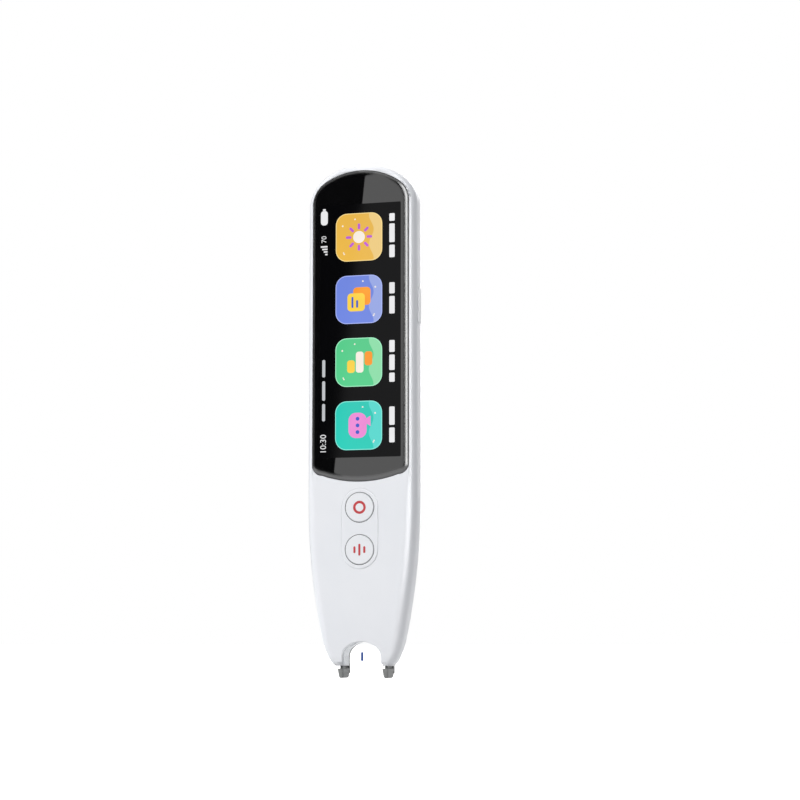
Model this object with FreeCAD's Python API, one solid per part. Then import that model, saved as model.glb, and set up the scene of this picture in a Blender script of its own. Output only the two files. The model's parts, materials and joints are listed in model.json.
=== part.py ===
import FreeCAD, Part
import math
import os

from FreeCAD import Vector

# A pen-shaped handheld translator, upright: its screen faces -Y and its scan tip points down.
# Heights are counted from the prong tips while the pieces are made.
# The finished pieces are then lowered so that the origin lies at the middle of the grip.
# All sizes are millimetres.

# Whole pen
LENGTH = 146.0
WIDTH = 32.2
DEPTH = 12.5
GRIP_HEIGHT = 42.0
WALL = 1.4
PARTING_Y = 0.2

# Outline seen from the front
ARCH_HEIGHT = 11.4
ARCH_FLAT = 10.0
TAPER_TOP = 50.0
LEG_WIDTH = 3.6
NOSE_BOTTOM = 3.4
NOSE_ROUND_HEIGHT = 6.8
NOSE_ROUND_IN = 3.2

# Outline seen from the side
FRONT_TAPER_GAP = 0.6
BACK_TAPER_TOP = 50.0
NOSE_DROP = 1.95
NOSE_DROP_POWER = 2.4
NOSE_EDGE_HEIGHT = 1.6
NOSE_EDGE_IN = 0.9
FRONT_TOP_ROUND = 2.0
BACK_TOP_ROUND = 5.0
BACK_TOP_ROUND_HEIGHT = 6.0

# Cross-section
FRONT_EDGE_RADIUS = 3.0
SIDE_BACK_Y = -0.75
BACK_STRIP = 9.0

# Joint between the two shells
LIP_HEIGHT = 1.0
LIP_THICKNESS = 0.6
LIP_GAP = 0.1
LIP_END = 3.0

# Glass and display
GLASS_SIDE_MARGIN = 1.8
GLASS_TOP_MARGIN = 1.6
GLASS_BOTTOM = 55.0
GLASS_ARCH = 9.4
GLASS_THICKNESS = 1.1
GLASS_PROUD = 0.05
GLASS_EDGE = 0.5
GLASS_EDGE_STEPS = 4
GLASS_BELLY = 1.9
GLASS_CORNER = 3.0
GLASS_GAP = 0.06
GLASS_LEDGE = 0.7
DISPLAY_SIDE_MARGIN = 1.2
DISPLAY_FOOT_MARGIN = 6.4
DISPLAY_TOP_MARGIN = 7.2
DISPLAY_THICKNESS = 1.4
TRAY_SHEET = 0.3
TRAY_GAP = 0.1

# Keys on the front
KEY_DIAMETER = 8.4
KEY_HOLE_GAP = 0.12
KEY_PITCH = 11.9
KEY_HEIGHT = 47.7
KEY_TRAVEL = 0.3
KEY_PROUD = 0.15
KEY_FLANGE = 0.7
KEY_FLANGE_THICKNESS = 0.6
KEY_EDGE = 0.25
STEM_RADIUS = 1.5
ISLAND_MARGIN = 1.2
ISLAND_PROUD = 0.2
ISLAND_INSET = 0.8
ISLAND_GAP = 0.03
SWITCH_HEIGHT = 0.9
SWITCH_SIDE = 4.0

# Power key on the side
POWER_KEY_DROP = 41.0
POWER_KEY_LENGTH = 10.6
POWER_KEY_WIDTH = 2.0
POWER_KEY_Y = -1.9
POWER_KEY_PROUD = 0.45
POWER_KEY_GAP = 0.1

# Scan tunnel through the nose, and its clear window
TUNNEL_WIDTH = 11.4
TUNNEL_TOP = 10.2
TUNNEL_ARCH = 4.2
CEILING = 1.4
WINDOW_SET_IN = 0.55
WINDOW_THICKNESS = 1.0
WINDOW_BOTTOM = 3.85
WINDOW_GROOVE = 0.45
WINDOW_GAP = 0.05

# Trigger frame: the arch at the back of the nose and its two prongs
TRIGGER_TRAVEL = 0.6
TRIM_LEG = 2.6
TRIM_TOP = 13.8
TRIM_ARCH = 6.2
TRIM_OVERLAP = 0.9
TRIM_SKIN = 0.6
TRIM_GAP = 0.15
TRIM_DEPTH = 1.95
FOOT_TOP = 2.6
FOOT_THICKNESS = 1.75
FOOT_SET_IN = 0.8
FOOT_TAPER = 0.75
FOOT_EDGE = 0.35
LEG_SHARE = 0.92
NECK_THICKNESS = 0.7
NECK_DEPTH = 4.4
NECK_TOP = 7.2
NECK_GAP = 0.2
TAB_WIDTH = 4.4
TAB_REACH = 0.4
TAB_DEPTH = 1.6
SPRING_RADIUS = 0.85
SPRING_WIRE = 0.3
SPRING_TURNS = 4
SPRING_STEPS = 8
SPRING_OFFSET = 0.9
SPRING_SET_IN = 0.5

# Scan camera and its light
CAMERA_Y = -0.4
BARREL_RADIUS = 2.3
LENS_RADIUS = 1.6
LENS_THICKNESS = 0.8
HOLDER_BOTTOM = 19.4
HOLDER_THICKNESS = 2.0
HOLDER_WIDTH = 19.0
HOLDER_FRONT_REACH = 3.2
CAMERA_BODY = 1.4
LIGHT_BOARD = 0.5
LIGHT_BOARD_WIDTH = 10.0
LIGHT_BOARD_DEPTH = 4.4
LED_X = 3.6
LED_RADIUS = 0.75
LED_LENGTH = 1.2
LED_EDGE = 0.35
FIT_GAP = 0.1

# Main board and what it carries
BOARD_SIDE_ROOM = 5.1
BOARD_FOOT_GAP = 0.2
BOARD_TOP_ROOM = 5.0
BOARD_GAP = 0.9
BOARD_THICKNESS = 0.8
BOARD_CORNER = 2.0
SHIELD_SIDE_MARGIN = 2.7
SHIELD_LENGTH = 24.0
SHIELD_HEIGHT = 1.1
SHIELD_BOTTOM = 72.0
SHIELD_SHEET = 0.2
CHIP_MARGIN = 3.0
SCREW_SIDE_MARGIN = 2.4
SCREW_HEIGHTS = (26.5, 57.5)
SCREW_RADIUS = 0.7
SCREW_HEAD_RADIUS = 1.2
SCREW_HEAD = 0.5
SCREW_BITE = 1.5
BOSS_RADIUS = 1.5
THREAD_GAP = 0.02
FLEX_SIDE_MARGIN = 6.5
FLEX_THICKNESS = 0.15
FLEX_REACH = 3.0

# Charging socket in the top end
SOCKET_WIDTH = 8.94
SOCKET_DEPTH = 3.26
SOCKET_LENGTH = 7.3
SOCKET_SHEET = 0.3
SOCKET_Y = -1.5
SOCKET_RECESS = 0.2
SOCKET_GAP = 0.06
TONGUE_WIDTH = 6.7
TONGUE_DEPTH = 0.7
TONGUE_LENGTH = 4.5
SOCKET_BACK = 1.2

# Battery, speaker, microphone and antenna
BATTERY_SIDE_MARGIN = 1.0
BATTERY_BOTTOM = 58.0
BATTERY_TOP_ROOM = 13.9
BATTERY_GAP = 0.9
BATTERY_EDGE = 0.8
PAD_WIDTH = 7.0
PAD_THICKNESS = 1.0
PAD_END_MARGIN = 5.0
GUARD_BOARD_LENGTH = 4.0
GUARD_BOARD_THICKNESS = 0.8
GRILLE_DROP = 17.5
GRILLE_INNER = 1.9
GRILLE_OUTER = 3.8
GRILLE_HOLE = 0.88
MESH_RADIUS = 4.6
MESH_THICKNESS = 0.2
SPEAKER_RADIUS = 6.6
SPEAKER_THICKNESS = 2.8
CONE_RADIUS = 4.0
CONE_DEPTH = 0.5
MIC_HEIGHT = 43.5
MIC_Y = 1.2
MIC_HOLE_RADIUS = 0.5
MIC_RADIUS = 1.0
MIC_SET_IN = 1.9
MIC_THICKNESS = 1.1
BOOT_WALL = 0.5
ANTENNA_LENGTH = 22.0
ANTENNA_WIDTH = 2.4
ANTENNA_THICKNESS = 0.2
ANTENNA_DROP = 34.0

# Values that follow from the ones above
HALF_WIDTH = WIDTH / 2
HALF_DEPTH = DEPTH / 2
ARCH_START = LENGTH - ARCH_HEIGHT
ARCH_RISE = ARCH_HEIGHT / math.sqrt(1 - (ARCH_FLAT / WIDTH) ** 2)
CAVITY_FLOOR = TUNNEL_TOP + CEILING
INNER_FRONT_Y = -HALF_DEPTH + WALL
INNER_BACK_Y = HALF_DEPTH - WALL

TUNNEL_HALF = TUNNEL_WIDTH / 2
NOSE_FOOT_WIDTH = TUNNEL_WIDTH + 2 * LEG_WIDTH
NOSE_FACE_Y = HALF_DEPTH - NOSE_DROP
WINDOW_Y = -NOSE_FACE_Y + WINDOW_SET_IN

TRIM_HALF = TUNNEL_HALF + TRIM_LEG
TRIM_FRONT_Y = NOSE_FACE_Y - TRIM_DEPTH
NOSE_BACK_Y = TRIM_FRONT_Y - TRIM_GAP
FOOT_HALF_DEPTH = NOSE_FACE_Y - FOOT_SET_IN
PRONG_X = TUNNEL_HALF + FOOT_THICKNESS / 2
TAB_FRONT_Y = TRIM_FRONT_Y - TAB_DEPTH
SPRING_X = TUNNEL_HALF + SPRING_OFFSET
SPRING_Y = TRIM_FRONT_Y - SPRING_SET_IN

GLASS_HALF = HALF_WIDTH - GLASS_SIDE_MARGIN
GLASS_TOP = LENGTH - GLASS_TOP_MARGIN
GLASS_FRONT_Y = -HALF_DEPTH - GLASS_PROUD
GLASS_BACK_Y = GLASS_FRONT_Y + GLASS_THICKNESS
DISPLAY_HALF = GLASS_HALF - DISPLAY_SIDE_MARGIN
DISPLAY_BOTTOM = GLASS_BOTTOM + DISPLAY_FOOT_MARGIN
DISPLAY_TOP = GLASS_TOP - DISPLAY_TOP_MARGIN
DISPLAY_BACK_Y = GLASS_BACK_Y + DISPLAY_THICKNESS

KEY_HEIGHTS = (KEY_HEIGHT, KEY_HEIGHT - KEY_PITCH)
FRONT_TAPER_TOP = KEY_HEIGHTS[1] - KEY_DIAMETER / 2 - FRONT_TAPER_GAP
KEY_FRONT_Y = -HALF_DEPTH - ISLAND_PROUD - KEY_PROUD
ISLAND_HALF = KEY_DIAMETER / 2 + ISLAND_MARGIN
ISLAND_LOW = KEY_HEIGHTS[1] - ISLAND_HALF
ISLAND_HIGH = KEY_HEIGHTS[0] + ISLAND_HALF
POWER_KEY_HEIGHT = LENGTH - POWER_KEY_DROP

HOLDER_TOP = HOLDER_BOTTOM + HOLDER_THICKNESS
BOARD_HALF = HALF_WIDTH - BOARD_SIDE_ROOM
BOARD_BOTTOM = HOLDER_TOP + CAMERA_BODY + BOARD_FOOT_GAP
BOARD_TOP = LENGTH - BOARD_TOP_ROOM
BOARD_FRONT_Y = DISPLAY_BACK_Y + TRAY_SHEET + BOARD_GAP
BOARD_BACK_Y = BOARD_FRONT_Y + BOARD_THICKNESS
SWITCH_FACE_Y = BOARD_FRONT_Y - SWITCH_HEIGHT
SCREW_X = BOARD_HALF - SCREW_SIDE_MARGIN
FLEX_HALF = BOARD_HALF - FLEX_SIDE_MARGIN
SHIELD_HALF = BOARD_HALF - SHIELD_SIDE_MARGIN
SHIELD_TOP = SHIELD_BOTTOM + SHIELD_LENGTH

GRILLE_HEIGHT = LENGTH - GRILLE_DROP
BATTERY_HALF = BOARD_HALF - BATTERY_SIDE_MARGIN
BATTERY_FRONT_Y = BOARD_BACK_Y + SHIELD_HEIGHT + BATTERY_GAP
BATTERY_BACK_Y = INNER_BACK_Y - PAD_THICKNESS
BATTERY_TOP = GRILLE_HEIGHT - SPEAKER_RADIUS - BATTERY_TOP_ROOM
ANTENNA_BOTTOM = LENGTH - ANTENNA_DROP

# How finely rounded ends and small bars are made, a length beyond everything and one that is nothing
LOWER_STATIONS = 13
UPPER_STATIONS = 12
LAST_UPPER_STEP = 0.965
SMALL_SIDES = 12
FAR = 2 * LENGTH
SAME = 0.001


def block(x0, x1, y0, y1, z0, z1):
    """A box between two corners."""
    return Part.makeBox(x1 - x0, y1 - y0, z1 - z0, Vector(x0, y0, z0))


def rod(radius, start, direction, length):
    """A round bar."""
    return Part.makeCylinder(radius, length, Vector(*start), Vector(*direction))


def small_rod(radius, start, direction, length):
    """A bar with a few flat sides, for what is small and repeats."""
    axis = Vector(*direction)
    across = Vector(axis.z, axis.x, axis.y) * radius
    points = []
    for i in range(SMALL_SIDES + 1):
        turn = FreeCAD.Rotation(axis, 360 * i / SMALL_SIDES)
        points.append(Vector(*start) + turn.multVec(across))
    return Part.Face(Part.makePolygon(points)).extrude(axis * length)


def line(a, b):
    """A straight edge."""
    return Part.LineSegment(Vector(*a), Vector(*b)).toShape()


def arc(a, b, c):
    """A circular arc from a through b to c."""
    return Part.Arc(Vector(*a), Vector(*b), Vector(*c)).toShape()


def arc_round(centre, a, b):
    """The shorter arc about a centre from a to b."""
    middle = (a - centre) + (b - centre)
    middle = centre + middle * ((a - centre).Length / middle.Length)
    return arc(a, middle, b)


def quarter(start, corner, end):
    """Two tangent arcs that turn a square corner much as a quarter of an ellipse does."""
    start, corner, end = Vector(*start), Vector(*corner), Vector(*end)
    long = (end - corner).Length
    short = (start - corner).Length
    if short > long:
        return list(reversed(quarter(end, corner, start)))
    across = math.hypot(long, short)
    tight = (across - long + short) / 2 * across / long
    if long - short < SAME:
        return [arc_round(start + end - corner, start, end)]
    broad = ((long - tight) ** 2 + short ** 2 - tight ** 2) / (2 * (short - tight))
    near = start + (end - corner) * (tight / long)
    far = end + (start - corner) * (broad / short)
    join = near + (near - far) * (tight / (near - far).Length)
    return [arc_round(near, start, join), arc_round(far, join, end)]


def sagitta_radius(run, drop):
    """The radius of an arc that leaves its tangent by drop after run."""
    return (run ** 2 + drop ** 2) / (2 * drop)


def ellipse_fall(run, length, drop):
    """How far a quarter ellipse of that length and drop has fallen after run."""
    share = min(max(run / length, 0.0), 1.0)
    return drop * (1 - math.sqrt(1 - share ** 2))


def half_width_at(z, inset):
    """Half the pen's width at a height, moved in from the outside by inset."""
    half = HALF_WIDTH - inset
    if z > ARCH_START:
        half *= math.sqrt(max(1 - ((z - ARCH_START) / (ARCH_RISE - inset)) ** 2, 0.0))
    if z < TAPER_TOP:
        radius = sagitta_radius(TAPER_TOP, (WIDTH - NOSE_FOOT_WIDTH) / 2)
        half = HALF_WIDTH - radius + math.sqrt((radius - inset) ** 2 - (TAPER_TOP - z) ** 2)
    run = NOSE_BOTTOM + NOSE_ROUND_HEIGHT - z
    return half - ellipse_fall(run, NOSE_ROUND_HEIGHT + NOSE_EDGE_IN, NOSE_ROUND_IN)


def half_depth_at(z, inset, taper_top, top_round, top_height):
    """The distance from the middle plane to the front or back face at a height."""
    depth = HALF_DEPTH - inset
    if z < taper_top:
        depth -= NOSE_DROP * ((taper_top - z) / (taper_top - NOSE_BOTTOM)) ** NOSE_DROP_POWER
    depth -= ellipse_fall(NOSE_BOTTOM + NOSE_EDGE_HEIGHT - z, NOSE_EDGE_HEIGHT, NOSE_EDGE_IN)
    start = LENGTH - top_height
    if z > start and top_round > inset:
        depth -= ellipse_fall(z - start, top_height - inset, top_round - inset)
    return depth


def section(z, inset):
    """The pen's closed cross-section at a height: flat front, round edges, domed back."""
    half = half_width_at(z, inset)
    front = half_depth_at(z, inset, FRONT_TAPER_TOP, FRONT_TOP_ROUND, FRONT_TOP_ROUND)
    back = half_depth_at(z, inset, BACK_TAPER_TOP, BACK_TOP_ROUND, BACK_TOP_ROUND_HEIGHT)
    strip = BACK_STRIP / 2 * half / (HALF_WIDTH - inset)
    edge = (FRONT_EDGE_RADIUS - inset) * front / (HALF_DEPTH - inset)
    x = half - edge
    y = edge - front
    edges = [
        line((-x, -front, z), (x, -front, z)),
        *quarter((x, -front, z), (half, -front, z), (half, y, z)),
        line((half, y, z), (half, SIDE_BACK_Y, z)),
        *quarter((half, SIDE_BACK_Y, z), (half, back, z), (strip, back, z)),
        line((strip, back, z), (-strip, back, z)),
        *quarter((-strip, back, z), (-half, back, z), (-half, SIDE_BACK_Y, z)),
        line((-half, SIDE_BACK_Y, z), (-half, y, z)),
        *quarter((-half, y, z), (-half, -front, z), (-x, -front, z)),
    ]
    return Part.Wire(edges)


def straight_body(inset, low, high):
    """A length of the straight grip, moved in by inset."""
    return Part.Face(section(TAPER_TOP, inset)).extrude(Vector(0, 0, high - low)).translated(
        Vector(0, 0, low - TAPER_TOP)
    )


def pen_body(inset):
    """The whole pen's outer form, moved in by inset: nose, straight grip and top arch."""
    low = NOSE_BOTTOM + inset
    high = LENGTH - inset
    lower = [NOSE_BOTTOM + (TAPER_TOP - NOSE_BOTTOM) * (i / LOWER_STATIONS) ** 2
             for i in range(LOWER_STATIONS + 1)]
    lower = [low] + [z for z in lower if z > low + WALL / 4]
    full_turn = math.asin(ARCH_HEIGHT / ARCH_RISE)
    steps = [i / UPPER_STATIONS for i in range(UPPER_STATIONS)] + [LAST_UPPER_STEP, 1]
    upper = [ARCH_START + ARCH_RISE * math.sin(full_turn * step) for step in steps]
    upper = [z for z in upper if z < high - WALL / 4] + [high]
    nose = Part.makeLoft([section(z, inset) for z in lower], True, True)
    top = Part.makeLoft([section(z, inset) for z in upper], True, True)
    middle = straight_body(inset, TAPER_TOP, ARCH_START)
    return nose.fuse([middle, top]).removeSplitter()


def arch_prism(half, bottom, top, arch, y0, y1):
    """A doorway shape seen from the front, run from y0 to y1."""
    spring = top - arch
    edges = [
        line((-half, y0, bottom), (half, y0, bottom)),
        line((half, y0, bottom), (half, y0, spring)),
        *quarter((half, y0, spring), (half, y0, top), (0, y0, top)),
        *quarter((0, y0, top), (-half, y0, top), (-half, y0, spring)),
        line((-half, y0, spring), (-half, y0, bottom)),
    ]
    return Part.Face(Part.Wire(edges)).extrude(Vector(0, y1 - y0, 0))


def glass_outline(grow, y):
    """The glass outline, moved out by grow: an arched top and a gently bowed foot."""
    half = GLASS_HALF + grow
    top = GLASS_TOP + grow
    spring = GLASS_TOP - GLASS_ARCH
    foot = GLASS_BOTTOM - grow
    corner = GLASS_CORNER + grow
    bow_z = foot + GLASS_BELLY
    bow_x = half - corner
    edges = [
        line((half, y, bow_z + corner), (half, y, spring)),
        *quarter((half, y, spring), (half, y, top), (0, y, top)),
        *quarter((0, y, top), (-half, y, top), (-half, y, spring)),
        line((-half, y, spring), (-half, y, bow_z + corner)),
        *quarter((-half, y, bow_z + corner), (-half, y, bow_z), (-bow_x, y, bow_z)),
        arc((-bow_x, y, bow_z), (0, y, foot), (bow_x, y, bow_z)),
        *quarter((bow_x, y, bow_z), (half, y, bow_z), (half, y, bow_z + corner)),
    ]
    return Part.Wire(edges)


def glass_prism(grow, y0, y1):
    """The glass outline run from y0 to y1."""
    return Part.Face(glass_outline(grow, y0)).extrude(Vector(0, y1 - y0, 0))


def pill_prism(half_width, low, high, y0, y1):
    """A stadium shape seen from the front, round at both ends."""
    a = low + half_width
    b = high - half_width
    edges = [
        line((half_width, y0, a), (half_width, y0, b)),
        arc((half_width, y0, b), (0, y0, high), (-half_width, y0, b)),
        line((-half_width, y0, b), (-half_width, y0, a)),
        arc((-half_width, y0, a), (0, y0, low), (half_width, y0, a)),
    ]
    return Part.Face(Part.Wire(edges)).extrude(Vector(0, y1 - y0, 0))


def slot_prism(width, depth, z0, z1):
    """A stadium shape seen from the top, about the charging socket's axis."""
    radius = depth / 2
    reach = width / 2 - radius
    y = SOCKET_Y
    edges = [
        line((-reach, y - radius, z0), (reach, y - radius, z0)),
        arc((reach, y - radius, z0), (width / 2, y, z0), (reach, y + radius, z0)),
        line((reach, y + radius, z0), (-reach, y + radius, z0)),
        arc((-reach, y + radius, z0), (-width / 2, y, z0), (-reach, y - radius, z0)),
    ]
    return Part.Face(Part.Wire(edges)).extrude(Vector(0, 0, z1 - z0))


def edges_on_plane(shape, axis, value):
    """The edges that lie wholly on the plane where that coordinate has that value."""
    low = axis + "Min"
    high = axis + "Max"
    found = []
    for edge in shape.Edges:
        box = edge.BoundBox
        if abs(getattr(box, low) - value) < 1e-4 and abs(getattr(box, high) - value) < 1e-4:
            found.append(edge)
    return found


def mirrored(shape):
    """The same piece on the pen's other side."""
    return shape.mirror(Vector(0, 0, 0), Vector(1, 0, 0))


OUTER = pen_body(0.0)
INNER = pen_body(WALL)
CAVITY = INNER.common(block(-FAR, FAR, -FAR, FAR, CAVITY_FLOOR, FAR))
FRONT_HALF = block(-FAR, FAR, -FAR, PARTING_Y, -FAR, FAR)
REAR_HALF = block(-FAR, FAR, PARTING_Y, FAR, -FAR, FAR)


def lip_band(y0, y1, outer_inset, inner_inset, spare):
    """A thin wall inside both straight sides of the shells, shorter by spare at each end."""
    low = TAPER_TOP + LIP_END + spare
    high = ARCH_START - LIP_END - spare
    ring = straight_body(outer_inset, low, high).cut(straight_body(inner_inset, low, high))
    return ring.common(block(-FAR, FAR, y0, y1, low, high))


def prong_pocket():
    """The room in one leg of the nose for a prong's neck and its travel."""
    reach = NECK_THICKNESS / 2 + NECK_GAP
    top = NECK_TOP + TRIGGER_TRAVEL + NECK_GAP
    depth = NECK_DEPTH / 2 + NECK_GAP
    return block(PRONG_X - reach, PRONG_X + reach, -depth, NOSE_BACK_Y, 0, top)


def nose_core():
    """What the front moulding fills of the nose behind the parting plane, inside the rear skin."""
    inside = pen_body(TRIM_SKIN + TRIM_GAP).common(
        block(-FAR, FAR, PARTING_Y, NOSE_BACK_Y, NOSE_BOTTOM, CAVITY_FLOOR)
    )
    return inside.fuse(nose_sole())


def nose_sole():
    """The inner half of each leg's underside, which belongs to the front moulding."""
    return OUTER.common(block(-PRONG_X, PRONG_X, PARTING_Y, NOSE_BACK_Y, 0, NECK_TOP))


def grille_points():
    """Nineteen hole centres: one, a ring of six and a ring of twelve."""
    points = [(0.0, GRILLE_HEIGHT)]
    for radius, count in ((GRILLE_INNER, 6), (GRILLE_OUTER, 12)):
        for i in range(count):
            angle = 2 * math.pi * i / count
            points.append((radius * math.cos(angle), GRILLE_HEIGHT + radius * math.sin(angle)))
    return points


def front_shell():
    """The front moulding with the glass seat, the key holes and the scan tunnel."""
    shell = OUTER.common(FRONT_HALF).cut(CAVITY).fuse(nose_core())
    for z in SCREW_HEIGHTS:
        for x in (-SCREW_X, SCREW_X):
            boss = small_rod(BOSS_RADIUS, (x, INNER_FRONT_Y - WALL / 2, z), (0, 1, 0),
                             BOARD_FRONT_Y - INNER_FRONT_Y + WALL / 2)
            shell = shell.fuse(boss)
    cuts = [
        arch_prism(TUNNEL_HALF, 0, TUNNEL_TOP, TUNNEL_ARCH, -DEPTH, DEPTH),
        arch_prism(TUNNEL_HALF + WINDOW_GROOVE, 0, TUNNEL_TOP + WINDOW_GROOVE,
                   TUNNEL_ARCH + WINDOW_GROOVE, WINDOW_Y - WINDOW_GAP,
                   WINDOW_Y + WINDOW_THICKNESS + WINDOW_GAP),
        prong_pocket(),
        mirrored(prong_pocket()),
        glass_prism(GLASS_GAP, -DEPTH, GLASS_BACK_Y),
        glass_prism(-GLASS_LEDGE, -DEPTH, INNER_FRONT_Y + WALL),
        pill_prism(ISLAND_HALF + ISLAND_GAP, ISLAND_LOW - ISLAND_GAP, ISLAND_HIGH + ISLAND_GAP,
                   -DEPTH, -HALF_DEPTH + ISLAND_INSET),
        rod(LENS_RADIUS + FIT_GAP, (0, CAMERA_Y, 0), (0, 0, 1), HOLDER_BOTTOM),
        lip_band(PARTING_Y - LIP_HEIGHT - LIP_GAP, PARTING_Y,
                 WALL - LIP_THICKNESS - LIP_GAP, WALL + LIP_GAP, -LIP_GAP),
        slot_prism(SOCKET_WIDTH + 2 * SOCKET_GAP, SOCKET_DEPTH + 2 * SOCKET_GAP, ARCH_START, FAR),
        power_key_slot(POWER_KEY_GAP),
    ]
    for z in KEY_HEIGHTS:
        cuts.append(rod(KEY_DIAMETER / 2 + KEY_HOLE_GAP, (0, -DEPTH, z), (0, 1, 0), DEPTH))
    for z in SCREW_HEIGHTS:
        for x in (-SCREW_X, SCREW_X):
            cuts.append(small_rod(SCREW_RADIUS + THREAD_GAP, (x, BOARD_FRONT_Y, z), (0, -1, 0),
                                  SCREW_BITE + THREAD_GAP))
    for x in (-LED_X, LED_X):
        cuts.append(small_rod(LED_RADIUS + FIT_GAP, (x, CAMERA_Y, 0), (0, 0, 1), HOLDER_BOTTOM))
    return shell.cut(cuts)


def power_key_slot(gap):
    """The power key's outline through the right wall, moved out by gap."""
    half = POWER_KEY_WIDTH / 2 + gap
    low = POWER_KEY_HEIGHT - POWER_KEY_LENGTH / 2 - gap
    high = POWER_KEY_HEIGHT + POWER_KEY_LENGTH / 2 + gap
    bar = pill_prism(half, low, high, 0, WALL * 3)
    bar.rotate(Vector(0, 0, 0), Vector(0, 0, 1), 90)
    bar.translate(Vector(HALF_WIDTH + WALL, POWER_KEY_Y, 0))
    return bar


def rear_shell():
    """The back moulding with the speaker grille and the arched opening for the trim."""
    shell = OUTER.common(REAR_HALF).cut(CAVITY)
    lip = lip_band(PARTING_Y - LIP_HEIGHT, PARTING_Y + WALL, WALL - LIP_THICKNESS, WALL, 0)
    shell = shell.fuse(lip)
    pocket_half = TRIM_HALF + TRIM_OVERLAP + TRIM_GAP
    pocket_top = TRIM_TOP + TRIM_OVERLAP + TRIGGER_TRAVEL + TRIM_GAP
    room = pen_body(TRIM_SKIN).common(
        block(-pocket_half, pocket_half, PARTING_Y, FAR, -FAR, pocket_top)
    )
    cuts = [
        room,
        block(-FAR, FAR, PARTING_Y, NOSE_BACK_Y, -FAR, CAVITY_FLOOR).common(pen_body(TRIM_SKIN)),
        nose_sole(),
        arch_prism(TRIM_HALF, 0, TRIM_TOP, TRIM_ARCH, NOSE_BACK_Y, DEPTH),
        arch_prism(TUNNEL_HALF, 0, TUNNEL_TOP, TUNNEL_ARCH, -DEPTH, DEPTH),
        rod(MESH_RADIUS + FIT_GAP, (0, 0, GRILLE_HEIGHT), (0, 1, 0), INNER_BACK_Y + MESH_THICKNESS),
        small_rod(MIC_HOLE_RADIUS, (-WIDTH, MIC_Y, MIC_HEIGHT), (1, 0, 0), WIDTH),
        slot_prism(SOCKET_WIDTH + 2 * SOCKET_GAP, SOCKET_DEPTH + 2 * SOCKET_GAP, ARCH_START, FAR),
        power_key_room(),
        prong_pocket(),
        mirrored(prong_pocket()),
    ]
    for x, z in grille_points():
        cuts.append(small_rod(GRILLE_HOLE / 2, (x, 0, z), (0, 1, 0), DEPTH))
    return shell.cut(cuts)


def power_key_room():
    """Where the lip stops for the power key's flange and its switch."""
    reach = POWER_KEY_LENGTH / 2 + KEY_FLANGE + FIT_GAP
    return block(HALF_WIDTH - 3 * WALL, HALF_WIDTH - WALL / 2, PARTING_Y - 2 * LIP_HEIGHT, PARTING_Y,
                 POWER_KEY_HEIGHT - reach, POWER_KEY_HEIGHT + reach)


def cover_glass():
    """The black-bordered glass, its front edge rounded over in small steps."""
    wires = []
    for i in range(GLASS_EDGE_STEPS + 1):
        angle = math.pi / 2 * i / GLASS_EDGE_STEPS
        grow = GLASS_EDGE * (math.cos(angle) - 1)
        wires.append(glass_outline(grow, GLASS_FRONT_Y + GLASS_EDGE * (1 - math.sin(angle))))
    edge = Part.makeLoft(wires, True, True)
    slab = glass_prism(0, GLASS_FRONT_Y + GLASS_EDGE, GLASS_BACK_Y)
    return slab.fuse(edge).removeSplitter()


def display_panel():
    """The display's flat laminate behind the glass."""
    return block(-DISPLAY_HALF, DISPLAY_HALF, GLASS_BACK_Y, DISPLAY_BACK_Y, DISPLAY_BOTTOM, DISPLAY_TOP)


def display_tray():
    """The thin metal tray that holds the display from behind and round its edges."""
    inside = DISPLAY_HALF + TRAY_GAP
    half = inside + TRAY_SHEET
    low = DISPLAY_BOTTOM - TRAY_GAP - TRAY_SHEET
    high = DISPLAY_TOP + TRAY_GAP + TRAY_SHEET
    rim = DISPLAY_BACK_Y - DISPLAY_THICKNESS / 2
    tray = block(-half, half, rim, DISPLAY_BACK_Y + TRAY_SHEET, low, high)
    tray = tray.cut(block(-inside, inside, rim, DISPLAY_BACK_Y, low + TRAY_SHEET, high - TRAY_SHEET))
    mouth = FLEX_HALF + TRAY_GAP
    return tray.cut(block(-mouth, mouth, rim, DISPLAY_BACK_Y + TRAY_SHEET, low, low + TRAY_SHEET))


def display_flex():
    """The ribbon that leaves the display's foot and turns back onto the board."""
    near = DISPLAY_BACK_Y - FLEX_THICKNESS
    outer = (BOARD_FRONT_Y - near) / 2
    inner = outer - FLEX_THICKNESS
    middle = near + outer
    bend = DISPLAY_BOTTOM - FLEX_REACH
    end = bend + FLEX_REACH / 2
    x = -FLEX_HALF
    edges = [
        line((x, near, DISPLAY_BOTTOM), (x, near, bend)),
        arc((x, near, bend), (x, middle, bend - outer), (x, BOARD_FRONT_Y, bend)),
        line((x, BOARD_FRONT_Y, bend), (x, BOARD_FRONT_Y, end)),
        line((x, BOARD_FRONT_Y, end), (x, middle + inner, end)),
        line((x, middle + inner, end), (x, middle + inner, bend)),
        arc((x, middle + inner, bend), (x, middle, bend - inner), (x, middle - inner, bend)),
        line((x, middle - inner, bend), (x, middle - inner, DISPLAY_BOTTOM)),
        line((x, middle - inner, DISPLAY_BOTTOM), (x, near, DISPLAY_BOTTOM)),
    ]
    return Part.Face(Part.Wire(edges)).extrude(Vector(2 * FLEX_HALF, 0, 0))


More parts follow.
